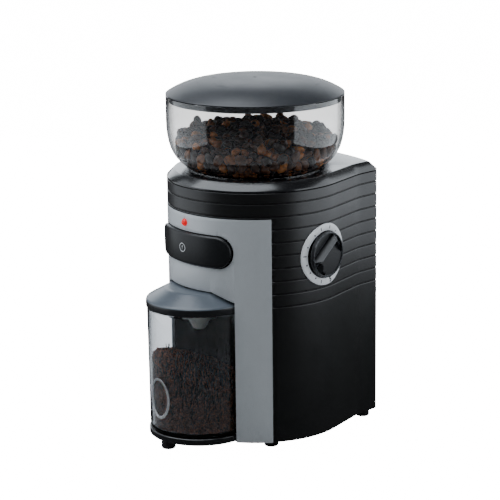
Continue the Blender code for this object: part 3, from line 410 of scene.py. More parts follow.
def finishPiece(bm, name, finish, body, stands=(), sharp=32.0):
    mesh = bpy.data.meshes.new(name)
    bm.to_mesh(mesh)
    bm.free()
    mesh.polygons.foreach_set("use_smooth", [True] * len(mesh.polygons))
    mesh.set_sharp_from_angle(angle=radians(sharp))
    mesh.materials.append(finishes[finish])
    piece = bpy.data.objects.new(name, mesh)
    bpy.context.scene.collection.objects.link(piece)
    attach(piece, body)
    if stands:
        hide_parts(*stands)
    return piece


def thicken(piece, thickness, edge=0.0):
    # gives a sheet its wall on the inner side, and eases the rim
    wall = piece.modifiers.new("wall", "SOLIDIFY")
    wall.thickness = thickness * mm
    wall.offset = -1.0
    if edge:
        ease = piece.modifiers.new("ease", "BEVEL")
        ease.width = edge * mm
        ease.segments = 2
        ease.limit_method = "ANGLE"
        ease.angle_limit = radians(40.0)


def easeCorners(points, radius, steps=3):
    # rounds the inner corners of a profile of (radius, height)
    line = [Vector(p) for p in points]
    eased = [line[0]]
    for before, corner, after in zip(line, line[1:], line[2:]):
        inward, outward = before - corner, after - corner
        reach = min(radius, inward.length * 0.45, outward.length * 0.45)
        start, end = corner + inward.normalized() * reach, corner + outward.normalized() * reach
        for i in range(steps + 1):
            t = i / steps
            eased.append(start * (1 - t) ** 2 + corner * 2 * t * (1 - t) + end * t ** 2)
    eased.append(line[-1])
    return eased


def spinProfile(points, steps=96, centre=None):
    # turns a profile of (radius, height) in millimetres about an upright axis
    bm = bmesh.new()
    verts = [bm.verts.new((r * mm, 0.0, z * mm)) for r, z in points]
    edges = [bm.edges.new(pair) for pair in zip(verts, verts[1:])]
    bmesh.ops.spin(bm, geom=verts + edges, cent=(0, 0, 0), axis=(0, 0, 1), angle=tau, steps=steps,
                   use_merge=True)
    bmesh.ops.remove_doubles(bm, verts=bm.verts, dist=0.000002)
    faceOut(bm)
    bmesh.ops.translate(bm, vec=burrAxis if centre is None else centre, verts=bm.verts)
    return bm


def faceOut(bm):
    bmesh.ops.recalc_face_normals(bm, faces=bm.faces)


def bridgeAll(bm, loops):
    for lower, upper in zip(loops, loops[1:]):
        bmesh.ops.bridge_loops(bm, edges=lower + upper)


def capEnds(bm, loops):
    for loop in (loops[0], loops[-1]):
        bmesh.ops.contextual_create(bm, geom=loop)


def layOnSide(bm, angle, height):
    # turns an upright spun piece level, with its axis through the burr axis at the height
    bmesh.ops.rotate(bm, cent=(0, 0, 0), matrix=Matrix.Rotation(radians(angle), 3, "X"), verts=bm.verts)
    bmesh.ops.translate(bm, vec=burrAxis + Vector((0, 0, height * mm)), verts=bm.verts)


def camelName(words):
    first, *rest = words.split("_")
    return first + "".join(word.title() for word in rest)


def arcPoints(centre, radius, start, end, steps):
    angles = [start + (end - start) * i / steps for i in range(steps + 1)]
    return [Vector((centre[0] + radius * cos(a), centre[1] + radius * sin(a))) for a in angles]


def linePoints(start, end, steps):
    return [start.lerp(end, i / steps) for i in range(1, steps)]


bodyLook = {
    "frontRadius": 71.5, "waistAngle": 110.5, "waistLength": 36.0, "waistBend": 40.0, "tailAngle": 97.3,
    "rearRadius": 195.0, "rearY": 92.5, "cornerRadius": 3.0, "bottom": 8.0, "top": 209.7, "wall": 2.5,
    "inset": 0.06,  # keeps the whole plan just inside the solids
    "windowAngle": 61.28, "windowTop": 189.2, "firstGroove": 118.6, "groovePitch": 10.3, "grooveCount": 9,
    "grooveDepth": 0.75,
}


def planPoints(inset):
    # the keyhole plan in millimetres about the burr axis, drawn from the front round the right side
    look = bodyLook
    waist, tail = radians(look["waistAngle"]), radians(look["tailAngle"])
    window = radians(look["windowAngle"])
    front = arcPoints((0, 0), look["frontRadius"] - inset, -pi / 2, window - pi / 2, 20)
    front += arcPoints((0, 0), look["frontRadius"] - inset, window - pi / 2, waist - pi / 2, 16)[1:]
    heading = Vector((cos(waist), sin(waist)))
    outward = Vector((heading.y, -heading.x))
    bendCentre = outward * (look["frontRadius"] + look["waistBend"]) + heading * look["waistLength"]
    bend = arcPoints(bendCentre, look["waistBend"] + inset, waist + pi / 2, tail + pi / 2, 6)
    corner = max(look["cornerRadius"] - inset, 0.4)
    depth = inset + corner
    rearCentre = Vector((0.0, look["rearY"] - look["rearRadius"]))
    along = Vector((cos(tail), sin(tail)))
    start = arcPoints(bendCentre, look["waistBend"] + depth, waist + pi / 2, tail + pi / 2, 1)[-1]
    start -= rearCentre
    reach = look["rearRadius"] - depth
    run = -start.dot(along) + sqrt(start.dot(along) ** 2 - start.length_squared + reach ** 2)
    cornerCentre = start + along * run
    rearStart = atan2(cornerCentre.y, cornerCentre.x)
    turn = arcPoints(cornerCentre + rearCentre, corner, tail - pi / 2, rearStart, 15)
    rear = arcPoints(rearCentre, look["rearRadius"] - inset, rearStart, pi / 2, 8)[1:]
    half = front + linePoints(front[-1], bend[0], 5) + bend + linePoints(bend[-1], turn[0], 7) + turn + rear
    return half + [Vector((-p.x, p.y)) for p in reversed(half[1:-1])]


def planLoop(bm, inset, height):
    plan = planPoints(inset + bodyLook["inset"])
    verts = [bm.verts.new((burrAxis.x + p.x * mm, burrAxis.y + p.y * mm, height * mm)) for p in plan]
    return [bm.edges.new(pair) for pair in zip(verts, verts[1:] + verts[:1])]


def loftPlan(levels):
    # skins the plan through levels of (inset, height)
    bm = bmesh.new()
    loops = [planLoop(bm, inset, height) for inset, height in levels]
    bridgeAll(bm, loops)
    faceOut(bm)
    return bm, loops


def grooveLevels():
    look = bodyLook
    levels = [(0.45, look["bottom"]), (0.0, look["bottom"] + 0.5)]
    for i in range(look["grooveCount"]):
        middle = look["firstGroove"] + look["groovePitch"] * i
        levels.append((0.0, middle - 4.6))
        for away, deep in ((0.95, 0.03), (0.5, 0.14), (0.12, look["grooveDepth"])):
            levels += [(deep, middle - away), (deep, middle + away)]
    levels += [(0.0, look["top"] - 4.2), (0.0, look["top"] - 0.45), (0.40, look["top"])]
    levels.append((0.0, look["windowTop"]))  # the window's upper edge needs a level of its own
    return sorted(levels, key=lambda level: level[1])


def buildShell():
    bm, loops = loftPlan(grooveLevels())
    window = radians(bodyLook["windowAngle"])
    low = [face for face in bm.faces if face.calc_center_median().z < bodyLook["windowTop"] * mm]
    middles = [face.calc_center_median() - burrAxis for face in low]
    opening = [face for face, m in zip(low, middles) if abs(atan2(m.x, -m.y)) < window]
    bmesh.ops.delete(bm, geom=opening, context="FACES")
    shell = finishPiece(bm, "housingShell", "bodyPlastic", "housing", ["housing_shell"], sharp=7)
    thicken(shell, bodyLook["wall"])


coverLook = {"bottom": 210.0, "lip": 211.3, "top": 217.2, "chamfer": 5.9, "wall": 2.4, "neckRadius": 26.0}


def buildCover():
    bottom, lip, top, chamfer, wall, neckRadius = coverLook.values()
    levels = [(0.35, bottom), (0.0, bottom + 0.3), (0.0, lip - 0.15), (0.18, lip + 0.18),
              (chamfer - 0.35, top - 0.38), (chamfer + 0.1, top - 0.09), (chamfer + 0.7, top)]
    bm, loops = loftPlan(levels)
    rim = loops[-1]
    hole = bmesh.ops.create_circle(bm, segments=96, radius=neckRadius * mm,
            matrix=Matrix.Translation(burrAxis + Vector((0, 0, top * mm))))
    holeEdges = list({edge for vert in hole["verts"] for edge in vert.link_edges})
    bmesh.ops.triangle_fill(bm, use_beauty=True, use_dissolve=False, edges=rim + holeEdges)
    faceOut(bm)
    cover = finishPiece(bm, "topCover", "coverPlastic", "housing", ["top_cover"])
    thicken(cover, wall)


baseLook = {"inset": 2.8, "bottom": 8.0, "plateTop": 11.0, "platformRadius": 41.6, "platformTop": 13.6}


def buildBase():
    look = baseLook
    bm, loops = loftPlan([(look["inset"], look["bottom"]), (look["inset"], look["plateTop"])])
    capEnds(bm, loops)
    faceOut(bm)
    finishPiece(bm, "baseFloor", "bodyPlastic", "housing", ["base_plate"])
    radius, low, high = look["platformRadius"], look["bottom"], look["platformTop"]
    profile = [(0, low), (radius - 1.2, low), (radius, low + 1.0), (radius, high - 0.5), (radius - 0.5, high),
               (radius - 1.9, high), (radius - 2.1, high - 0.35), (0, high - 0.35)]
    bm = spinProfile(easeCorners(profile, 0.25), 128, bayAxis)
    finishPiece(bm, "basePlatform", "coverPlastic", "housing", ())


footLook = {"radius": 5.75, "height": 7.7, "edge": 0.9}


def buildFeet():
    radius, height, edge = footLook["radius"], footLook["height"], footLook["edge"]
    profile = [(0, 0.25), (radius - 2.2, 0.25), (radius - 1.9, 0), (radius - edge, 0), (radius, edge),
               (radius, height - 1.2), (radius - 0.25, height), (0, height)]
    for node in ("foot_front", "foot_middle_right", "foot_middle_left", "foot_rear_right", "foot_rear_left"):
        bm = spinProfile(easeCorners(profile, 0.5), 40, middleOf(node))
        finishPiece(bm, camelName(node), "rubber", "housing", [node])


glandLook = {"height": 28.0, "bore": 3.6, "flange": 7.0, "neck": 5.2, "wall": 2.5, "proud": 1.2}


def buildGland():
    height, bore, flange, neck, wall, proud = glandLook.values()
    outer, inner = bodyLook["rearY"] + 0.3, bodyLook["rearY"] - wall - 0.3
    profile = [(0, outer - 1.6), (bore - 0.3, outer - 1.6), (bore, outer - 1.2), (bore, outer + proud),
               (flange - 0.6, outer + proud), (flange, outer + 0.5), (flange, outer), (neck, outer),
               (neck, inner), (flange, inner), (flange, inner - 1.2), (0, inner - 1.2)]
    bm = spinProfile(easeCorners(profile, 0.3), 48, origin)
    layOnSide(bm, -90, height)
    finishPiece(bm, "cableGland", "rubber", "housing", ["cable_gland"])


buildShell()
buildCover()
buildBase()
buildFeet()
buildGland()
print("body is built")


def bendRound(bm, axis, radius):
    # bends a flat drawing of (distance along the curve, -proud, height) round the front of an upright axis
    for vert in bm.verts:
        turn = vert.co.x / radius
        reach = radius - vert.co.y
        vert.co = (axis.x + reach * sin(turn), axis.y - reach * cos(turn), vert.co.z)


def wrapFront(bm):
    bendRound(bm, burrAxis, bodyLook["frontRadius"] * mm)


def sliceForBending(bm, reach, step):
    # upright cuts, so that a flat drawing bends smoothly
    count = int(reach / step)
    for i in range(-count, count + 1):
        geom = list(bm.verts) + list(bm.edges) + list(bm.faces)
        bmesh.ops.bisect_plane(bm, geom=geom, plane_co=((i + 0.37) * step * mm, 0, 0), plane_no=(1, 0, 0),
                dist=0.000001)


def flatLoop(bm, points, depth=0.0):
    verts = [bm.verts.new((x * mm, -depth * mm, z * mm)) for x, z in points]
    return [bm.edges.new(pair) for pair in zip(verts, verts[1:] + verts[:1])]


panelLook = {
    "halfAngle": 61.0, "bottom": 8.0, "top": 188.9, "thickness": 2.5, "recessHalf": 43.5, "shoulder": 122.3,
    "recessTopHalf": 26.5, "recessTop": 129.5, "buttonGap": 0.8,
    "endRoom": 0.75,  # the button is pressed straight back, not along the curve
    "lampHole": 3.1, "lampHeight": 181.8,
}
buttonLook = {"height": 162.0, "halfLength": 44.9, "endRadius": 12.5, "proud": 2.8, "back": 1.7}


def alongFront(x):
    return bodyLook["frontRadius"] * asin(x / bodyLook["frontRadius"])


def ovalPoints(grow, stretch=0.0):
    straight = buttonLook["halfLength"] - buttonLook["endRadius"] + stretch
    radius = buttonLook["endRadius"] + grow
    points = []
    for side, start in ((1, -pi / 2), (-1, pi / 2)):
        points += arcPoints((side * straight, buttonLook["height"]), radius, start, start + pi, 20)
    return points


def buildPanel():
    halfAngle, bottom, top, thickness, *openings = panelLook.values()
    recessHalf, shoulder, recessTopHalf, recessTop, buttonGap, endRoom, lampHole, lampHeight = openings
    side = bodyLook["frontRadius"] * radians(halfAngle)
    recess, topHalf = alongFront(recessHalf), alongFront(recessTopHalf)
    bm = bmesh.new()
    outline = [(-side, bottom), (-side, top), (side, top), (side, bottom), (recess, bottom), (recess, shoulder),
               (topHalf, recessTop), (-topHalf, recessTop), (-recess, shoulder), (-recess, bottom)]
    edges = flatLoop(bm, outline) + flatLoop(bm, ovalPoints(buttonGap, endRoom))
    edges += flatLoop(bm, arcPoints((0, lampHeight), lampHole, 0, tau, 32)[:-1])
    bmesh.ops.triangle_fill(bm, use_beauty=True, use_dissolve=False, edges=edges)
    sliceForBending(bm, side, 2.2)
    wrapFront(bm)
    faceOut(bm)
    if sum((face.calc_center_median() - burrAxis).xy.dot(face.normal.xy) for face in bm.faces) < 0:
        bmesh.ops.reverse_faces(bm, faces=bm.faces)
    panel = finishPiece(bm, "frontPanel", "panelMetal", "housing", ["front_panel"])
    thicken(panel, thickness, edge=0.35)


def buildButton():
    look = buttonLook
    bm = bmesh.new()
    steps = [(0.0, -look["back"]), (0.0, look["proud"] - 1.5), (-0.25, look["proud"] - 0.95),
             (-0.75, look["proud"] - 0.35), (-1.3, look["proud"] - 0.08), (-1.9, look["proud"])]
    loops = [flatLoop(bm, ovalPoints(grow), depth) for grow, depth in steps]
    bridgeAll(bm, loops)
    capEnds(bm, loops)
    sliceForBending(bm, look["halfLength"], 2.0)
    wrapFront(bm)
    faceOut(bm)
    finishPiece(bm, "powerButton", "buttonPlastic", "button", ["power_button"])


symbolLook = {"radius": 3.3, "line": 0.62, "barHalf": 1.55, "proud": 2.8, "ink": 0.06}


def buildSymbol():
    radius, line, barHalf, proud, ink = symbolLook.values()
    bm = bmesh.new()
    height = buttonLook["height"]
    rings = []
    for reach in (radius - line / 2, radius + line / 2):
        rings.append(flatLoop(bm, arcPoints((0, height), reach, 0, tau, 40)[:-1], proud + ink))
    bridgeAll(bm, rings)
    half = line / 2
    bar = [(-half, height - barHalf), (half, height - barHalf), (half, height + barHalf),
           (-half, height + barHalf)]
    bmesh.ops.contextual_create(bm, geom=flatLoop(bm, bar, proud + ink))
    wrapFront(bm)
    faceOut(bm)
    for face in bm.faces:
        if (face.calc_center_median() - burrAxis).xy.dot(face.normal.xy) < 0:
            face.normal_flip()
    symbol = finishPiece(bm, "powerSymbol", "symbolInk", "button", ())
    thicken(symbol, ink + 0.05)


lampLook = {"height": 181.8, "radius": 2.8}


def buildLamp():
    radius = lampLook["radius"]
    profile = [(0, 64.0), (2.4, 64.0), (2.4, 68.0), (radius, 68.5), (radius, 71.6), (radius - 0.12, 72.3),
               (radius - 0.5, 72.95), (radius - 1.1, 73.42), (radius - 1.9, 73.7), (0, 73.8)]
    bm = spinProfile(easeCorners(profile, 0.3, 2), 40, origin)
    layOnSide(bm, 90, lampLook["height"])
    finishPiece(bm, "lampLens", "lampRed", "housing", ["lamp_lens"])


buildPanel()
buildButton()
buildSymbol()
buildLamp()
print("front is built")


dialLook = {
    "angle": 100.0, "height": 155.8, "inner": 18.9, "outer": 24.7, "proud": 1.55, "markRadius": 21.8,
    "knobRadius": 18.2, "ticks": (12, 84, 120, 195, 274, 345), "tickSize": (0.7, 2.8, 0.12),
    "dots": (38, 66, 102, 138, 214, 234, 254, 294, 324), "dotRadius": 0.65, "numeral": "5",
    "numeralSize": 5.6, "numeralAngle": 166, "gripTilt": 38.0,
}


def dialMatrix():
    turn = radians(dialLook["angle"])
    rear = Vector((cos(turn), sin(turn), 0.0))
    out = Vector((sin(turn), -cos(turn), 0.0))
    axes = Matrix((rear, Vector((0, 0, 1)), out)).transposed().to_4x4()
    return Matrix.Translation(burrAxis + Vector((0, 0, dialLook["height"] * mm))) @ axes


def bodyDepth(x):
    # distance from the burr axis out to the body's side, x millimetres behind the dial's centre
    radius = bodyLook["frontRadius"]
    rest = radians(bodyLook["waistAngle"] - dialLook["angle"])
    edge = radius * sin(rest)
    if x < edge:
        return sqrt(radius ** 2 - x ** 2)
    return radius * cos(rest) - (x - edge) * tan(rest)


def wrapDial(bm):
    for vert in bm.verts:
        vert.co.z += bodyDepth(vert.co.x / mm) * mm
    bm.transform(dialMatrix())


def buildDialRing():
    look = dialLook
    inner, outer, proud = look["inner"], look["outer"], look["proud"]
    profile = [(inner, 0.35), (outer - 0.15, 0.35), (outer, 0.6), (outer, proud - 0.55),
               (outer - 0.25, proud - 0.1), (outer - 0.8, proud), (inner + 0.7, proud),
               (inner + 0.2, proud - 0.15), (inner, proud - 0.6), (inner, 0.35)]
    bm = spinProfile(profile, 128, origin)
    wrapDial(bm)
    finishPiece(bm, "dialRing", "dialMetal", "housing", ["dial_ring"])


def markAt(degrees, radius):
    turn = radians(degrees)
    spot = Vector((radius * sin(turn), radius * cos(turn), dialLook["proud"])) * mm
    return Matrix.Translation(spot) @ Matrix.Rotation(-turn, 4, "Z")


def buildDialMarks():
    look = dialLook
    bm = bmesh.new()
    for degrees in look["ticks"]:
        place = markAt(degrees, look["markRadius"]) @ Matrix.Diagonal((*look["tickSize"], 1.0))
        bmesh.ops.create_cube(bm, size=mm, matrix=place)
    width = look["dotRadius"] * mm
    for degrees in look["dots"]:
        place = markAt(degrees, look["markRadius"] - 0.9)
        bmesh.ops.create_cone(bm, cap_ends=True, segments=12, radius1=width, radius2=width, depth=0.12 * mm,
                matrix=place)
    letter = bpy.data.curves.new("numeral", "FONT")
    letter.body = look["numeral"]
    letter.size = look["numeralSize"] * mm
    letter.align_x, letter.align_y = "CENTER", "CENTER"
    letter.extrude = 0.06 * mm
    letter.offset = 0.22 * mm
    letter.resolution_u = 3
    shaper = bpy.data.objects.new("numeral", letter)
    bpy.context.scene.collection.objects.link(shaper)
    numeral = bpy.data.meshes.new_from_object(shaper)
    bpy.data.objects.remove(shaper)
    numeral.transform(markAt(look["numeralAngle"], look["markRadius"]) @ Matrix.Rotation(pi, 4, "Z"))
    bm.from_mesh(numeral)
    bpy.data.meshes.remove(numeral)
    bmesh.ops.remove_doubles(bm, verts=bm.verts, dist=0.000001)
    wrapDial(bm)
    faceOut(bm)
    finishPiece(bm, "dialMarks", "dialInk", "housing", ())


knobLook = {
    "base": 0.7, "rim": 4.25, "floor": 3.3, "innerRadius": 16.9, "gripTop": 8.28, "gripLow": 2.6,
    "gripHigh": 5.5, "gripWall": 7.9, "slopeEnd": -10.5, "gripReach": 11.5, "recess": 1.9, "notch": 2.2,
}


def buildKnob():
    base, rim, floor, inner, *grip = knobLook.values()
    gripTop, gripLow, gripHigh, gripWall, slopeEnd, gripReach, recess, notch = grip
    radius = dialLook["knobRadius"]
    profile = [(0, base), (radius - 0.3, base), (radius, base + 0.3), (radius, rim - 0.5),
               (radius - 0.15, rim - 0.12), (radius - 0.5, rim), (inner + 0.35, rim), (inner + 0.08,
               rim - 0.12), (inner, rim - 0.4), (inner, floor)]
    bm = spinProfile(profile, 96, origin)
    bmesh.ops.contextual_create(bm, geom=[edge for edge in bm.edges if len(edge.link_faces) == 1])
    tilt = radians(dialLook["gripTilt"])
    along = Vector((cos(tilt), sin(tilt), 0.0))
    across = Vector((-sin(tilt), cos(tilt), 0.0))

    def topFaces():
        level = [f for f in bm.faces if f.normal.z > 0.9 and f.calc_center_median().z > 0.002]
        return [f for f in level if all(v.co.xy.length < (inner + 0.01) * mm for v in f.verts)]

    def spot(face):
        middle = face.calc_center_median()
        return middle.dot(across) / mm, middle.dot(along) / mm

    cuts = [(across, line) for line in (gripWall, gripHigh, gripLow, slopeEnd)]
    for way, line in cuts + [(along, -gripReach), (along, gripReach)]:
        faces = topFaces()
        geom = faces + list({e for f in faces for e in f.edges}) + list({v for f in faces for v in f.verts})
        bmesh.ops.bisect_plane(bm, geom=geom, plane_co=way * line * mm, plane_no=way, dist=0.00001)
    faces = topFaces()
    scoop = [f for f in faces if spot(f)[0] > gripWall]
    notches = [f for f in faces if slopeEnd < spot(f)[0] < gripLow]
    notches = [f for f in notches if abs(spot(f)[1]) > gripReach]
    raised = set()
    for face in faces:
        for vert in face.verts:
            n, t = vert.co.dot(across) / mm, vert.co.dot(along) / mm
            if gripLow - 0.05 < n < gripHigh + 0.05 and abs(t) < gripReach + 0.05:
                raised.add(vert)
    bmesh.ops.inset_region(bm, faces=scoop, thickness=0.5 * mm, use_even_offset=True, use_boundary=True)
    bmesh.ops.translate(bm, vec=(0, 0, -recess * mm), verts=list({v for f in scoop for v in f.verts}))
    for face in notches:
        bmesh.ops.inset_region(bm, faces=[face], thickness=0.35 * mm, use_even_offset=True, use_boundary=True)
        bmesh.ops.translate(bm, vec=(0, 0, -notch * mm), verts=list(face.verts))
    for vert in raised:
        vert.co.z = gripTop * mm
    bmesh.ops.triangulate(bm, faces=[f for f in bm.faces if len(f.verts) > 4])
    faceOut(bm)
    bm.transform(dialMatrix() @ Matrix.Translation((0, 0, bodyLook["frontRadius"] * mm)))
    finishPiece(bm, "grindKnob", "knobPlastic", "knob", ["grind_knob"], sharp=22)


buildDialRing()
buildDialMarks()
buildKnob()
print("dial is built")


bowlProfile = {
    "outer": [(53.0, 217.5), (57.2, 220.2), (60.9, 223.5), (63.8, 226.9), (66.1, 230.4), (67.9, 234.2),
              (69.4, 239.2), (70.4, 244.5), (71.0, 250.0), (71.2, 256.0), (71.2, 276.0)],
    "inner": [(69.0, 276.0), (69.0, 253.5), (68.5, 247.0), (67.5, 240.8), (66.1, 235.6), (64.2, 231.3),
              (61.7, 227.6), (58.9, 224.6), (56.0, 222.2), (52.4, 220.4), (21.3, 219.2)],
}
lidLook = {"edge": 71.2, "rim": 277.2, "top": 289.0, "wall": 2.4, "skirtOuter": 68.4, "skirtInner": 66.6,
           "skirtLow": 271.4}


def buildBowl():
    profile = [(23.5, 190.0), (23.5, 217.5)] + bowlProfile["outer"] + [(70.9, 276.2), (69.3, 276.2)]
    profile += bowlProfile["inner"] + [(21.3, 190.0), (23.5, 190.0)]
    bm = spinProfile(profile, 144)
    finishPiece(bm, "hopperBowl", "bowlClear", "hopper", ["hopper_bowl"], sharp=30)


def buildLid():
    edge, rim, top, wall, skirtOuter, skirtInner, skirtLow = lidLook.values()
    rise = top - rim
    radii = [0.0, 1.1, 1.5, 2.2, 12, 22, 30, 37, 43, 48, 52.5, 56.5, 60, 63, 65.6, 67.8, 69.5, 70.6, 71.05]
    dome = []
    for radius in radii:
        height = rim + rise * (1 - (radius / edge) ** 4)
        if radius < 1.3:
            height -= 0.55  # the moulding mark at the centre
        dome.append((radius, height))
    dome.append((edge, rim - 0.15))
    inside = [(r, z - wall) for r, z in reversed(dome[3:15])]
    profile = dome + [(edge, rim - 0.45), (edge - 0.25, rim - 0.65)]
    profile += [(skirtOuter, rim - 0.6), (skirtOuter, skirtLow + 0.3), (skirtOuter - 0.3, skirtLow),
                (skirtInner + 0.3, skirtLow), (skirtInner, skirtLow + 0.3), (skirtInner, rim - 0.8)]
    profile += inside + [(0.0, top - wall)]
    bm = spinProfile(profile, 144)
    finishPiece(bm, "hopperLid", "lidPlastic", "hopper_cap", ["hopper_lid"], sharp=30)


buildBowl()
buildLid()
print("hopper is built")


beanLook = {"count": 1330, "lean": (-0.085, 0.065), "radius": 3.75, "length": 4.9, "width": 3.65, "depth": 3.0,
            "floor": 220.4, "seed": 5, "rounds": 260, "underside": 0.72, "crease": 0.17}


def wallAt(height, downwards):
    # radius of a spun wall at a height, between its points of (radius, height) listed downwards
    radii, heights = zip(*reversed(downwards))
    return np.interp(height, heights, radii)


def wallRadius(height):
    return wallAt(height, bowlProfile["inner"][:-1])


def settleBeans():
    # lets small spheres sink and push each other apart inside the bowl
    look = beanLook
    rng = np.random.default_rng(look["seed"])
    count = look["count"]
    size = look["radius"] * rng.uniform(0.92, 1.08, count)
    turn = rng.uniform(0, tau, count)
    out = 50 * np.sqrt(rng.uniform(0, 1, count))
    place = np.stack([out * np.cos(turn), out * np.sin(turn), rng.uniform(226, 268, count)], axis=1)
    for step in range(look["rounds"]):
        if step % 10 == 0:  # who can meet whom during the next few steps
            cells = [place[:, k][:, None] - place[:, k][None, :] for k in range(3)]
            near = cells[0] ** 2 + cells[1] ** 2 + cells[2] ** 2 < 15.0 ** 2
            first, second = np.nonzero(np.triu(near, 1))
        drop = 0.40 * (1 - step / look["rounds"]) + 0.03
        place[:, 0] += drop * look["lean"][0]
        place[:, 1] += drop * look["lean"][1]
        place[:, 2] -= drop
        for repeat in range(2):
            gap = place[first] - place[second]
            span = np.sqrt((gap ** 2).sum(axis=1)) + 1e-9
            overlap = size[first] + size[second] - span
            hit = overlap > 0
            push = gap[hit] / span[hit, None] * (overlap[hit] * 0.5)[:, None]
            shift = np.zeros_like(place)
            np.add.at(shift, first[hit], push)
            np.add.at(shift, second[hit], -push)
            touched = np.bincount(np.concatenate([first[hit], second[hit]]), minlength=count)
            place += shift / np.maximum(touched, 1)[:, None] * 1.5
            reach = np.sqrt((place[:, :2] ** 2).sum(axis=1)) + 1e-9
            limit = wallRadius(place[:, 2]) - size * 0.86
            squeeze = np.minimum(1.0, limit / reach)
            place[:, :2] *= squeeze[:, None]
            place[:, 2] = np.maximum(place[:, 2], look["floor"] + size * 0.75)
    return place, size


def singleBean():
    bm = bmesh.new()
    bmesh.ops.create_uvsphere(bm, u_segments=10, v_segments=7, radius=1.0)
    bmesh.ops.rotate(bm, cent=(0, 0, 0), matrix=Matrix.Rotation(radians(90), 3, "Y"), verts=bm.verts)
    for vert in bm.verts:
        x, y, z = vert.co
        if z < 0:
            z *= beanLook["underside"]
        if z < -0.2 and abs(y) < 0.15:
            z += beanLook["crease"]
        vert.co = (x * beanLook["length"] * mm, y * beanLook["width"] * mm, z * beanLook["depth"] * mm)
    mesh = bpy.data.meshes.new("bean")
    bm.to_mesh(mesh)
    bm.free()
    return mesh


def beanTurn(spot, size, dice):
    # beans at the wall lie flat against it, the rest lie as they fell
    spin = Matrix.Rotation(dice.uniform(0, tau), 4, "Z")
    if hypot(spot[0], spot[1]) > wallRadius(spot[2]) - size * 1.5:
        facing = Vector((spot[0], spot[1], -6.0 if spot[2] < 234 else 0.0)).normalized()
        if dice.random() < 0.55:
            facing.negate()
        facing += Vector([dice.gauss(0, 0.16) for axis in range(3)])
    else:
        spread = 0.2 if spot[2] < beanLook["floor"] + size * 1.4 else 0.7
        facing = Vector((dice.gauss(0, spread), dice.gauss(0, spread), dice.choice((-1, 1))))
    return facing.to_track_quat("Z", "Y").to_matrix().to_4x4() @ spin


def buildBeans():
    dice = random.Random(beanLook["seed"])
    place, size = settleBeans()
    bean = singleBean()
    shade = bean.attributes.new("beanShade", "FLOAT", "POINT")
    bm = bmesh.new()
    for spot, radius in zip(place.tolist(), size.tolist()):
        centre = burrAxis + Vector(spot) * mm
        turn = Matrix.Translation(centre) @ beanTurn(spot, radius, dice)
        turn = turn @ Matrix.Scale(radius / beanLook["radius"], 4)
        shade.data.foreach_set("value", [dice.random()] * len(bean.vertices))
        bean.transform(turn)
        bm.from_mesh(bean)
        bean.transform(turn.inverted())
    bpy.data.meshes.remove(bean)
    finishPiece(bm, "coffeeBeans", "roastedBean", "hopper", (), sharp=70)


beanTones = {
    0.0: (0.010, 0.005, 0.003), 0.40: (0.028, 0.012, 0.007), 0.70: (0.10, 0.038, 0.015),
    0.87: (0.27, 0.10, 0.032), 1.0: (0.52, 0.20, 0.055),
}


def beanFinish():
    surface, tree = startSurface("roastedBean")
    tone = addNode(tree, "Attribute", attribute_name="beanShade").outputs["Fac"]
    ramp = addNode(tree, "ValToRGB", {"Fac": tone})
    stops = ramp.color_ramp.elements
    stops[1].position = 1.0
    for position in sorted(beanTones)[1:-1]:
        stops.new(position)
    for stop, position in zip(stops, sorted(beanTones)):
        stop.color = (*beanTones[position], 1.0)
    place = objectPlace(tree)
    blotch = remap(tree, cloud(tree, place, 420.0, 5.0), 0.3, 0.7, 0.65, 1.45)
    wrinkle = cloud(tree, place, 1500.0, 4.0)
    setShader(tree, {
        "Base Color": addNode(tree, "HueSaturation", {"Color": ramp, "Value": blotch}),
        "Specular IOR Level": 0.38,
        "Roughness": remap(tree, wrinkle, start=0.22, end=0.52),
        "Normal": relief(tree, wrinkle, 0.0002, 0.45),
    })
    return surface


finishes["roastedBean"] = beanFinish()
buildBeans()
print("beans are poured")


cupProfile = {
    "outer": [(39.4, 14.0), (40.6, 15.2), (40.7, 20.0), (41.05, 60.0), (41.5, 113.2), (40.5, 113.2),
              (40.5, 117.5)],
    "inner": [(38.7, 117.5), (38.7, 112.5), (39.3, 111.5), (38.85, 60.0), (38.4, 17.4), (37.4, 16.2)],
}
cupLidProfile = [
    (12.2, 128.3), (25.2, 128.3), (27.0, 127.9), (40.6, 120.5), (41.7, 119.75), (42.2, 118.6), (42.3, 118.0),
    (42.3, 114.1), (42.0, 113.6), (40.9, 113.6), (40.9, 117.8), (39.8, 118.6), (26.4, 125.9), (24.6, 126.3),
    (12.2, 126.3), (12.2, 128.3),
]
funnelProfile = [
    (17.0, 126.0), (17.0, 124.6), (15.8, 124.6), (13.9, 113.4), (11.9, 105.6), (9.9, 105.0), (8.3, 99.4),
    (5.0, 93.0), (3.8, 93.0), (6.9, 100.0), (8.5, 106.2), (10.6, 106.8), (12.6, 113.8), (14.4, 126.0),
    (17.0, 126.0),
]


def buildContainer():
    profile = [(0, 14.0)] + cupProfile["outer"] + cupProfile["inner"] + [(0, 16.2)]
    bm = spinProfile(easeCorners(profile, 0.35), 144, bayAxis)
    finishPiece(bm, "containerBody", "containerClear", "container", ["container_body"],
                sharp=30)
    bm = spinProfile(easeCorners(cupLidProfile, 0.8), 144, bayAxis)
    finishPiece(bm, "containerLid", "containerLidPlastic", "container", ["container_lid"])
    bm = spinProfile(easeCorners(funnelProfile, 0.6), 80, bayAxis)
    finishPiece(bm, "containerFunnel", "creamPlastic", "container", ["container_funnel"])


markLook = {"height": 43.0, "halfWidth": 10.2, "halfHeight": 15.3, "line": 1.7, "proud": 0.45, "wall": 40.9}


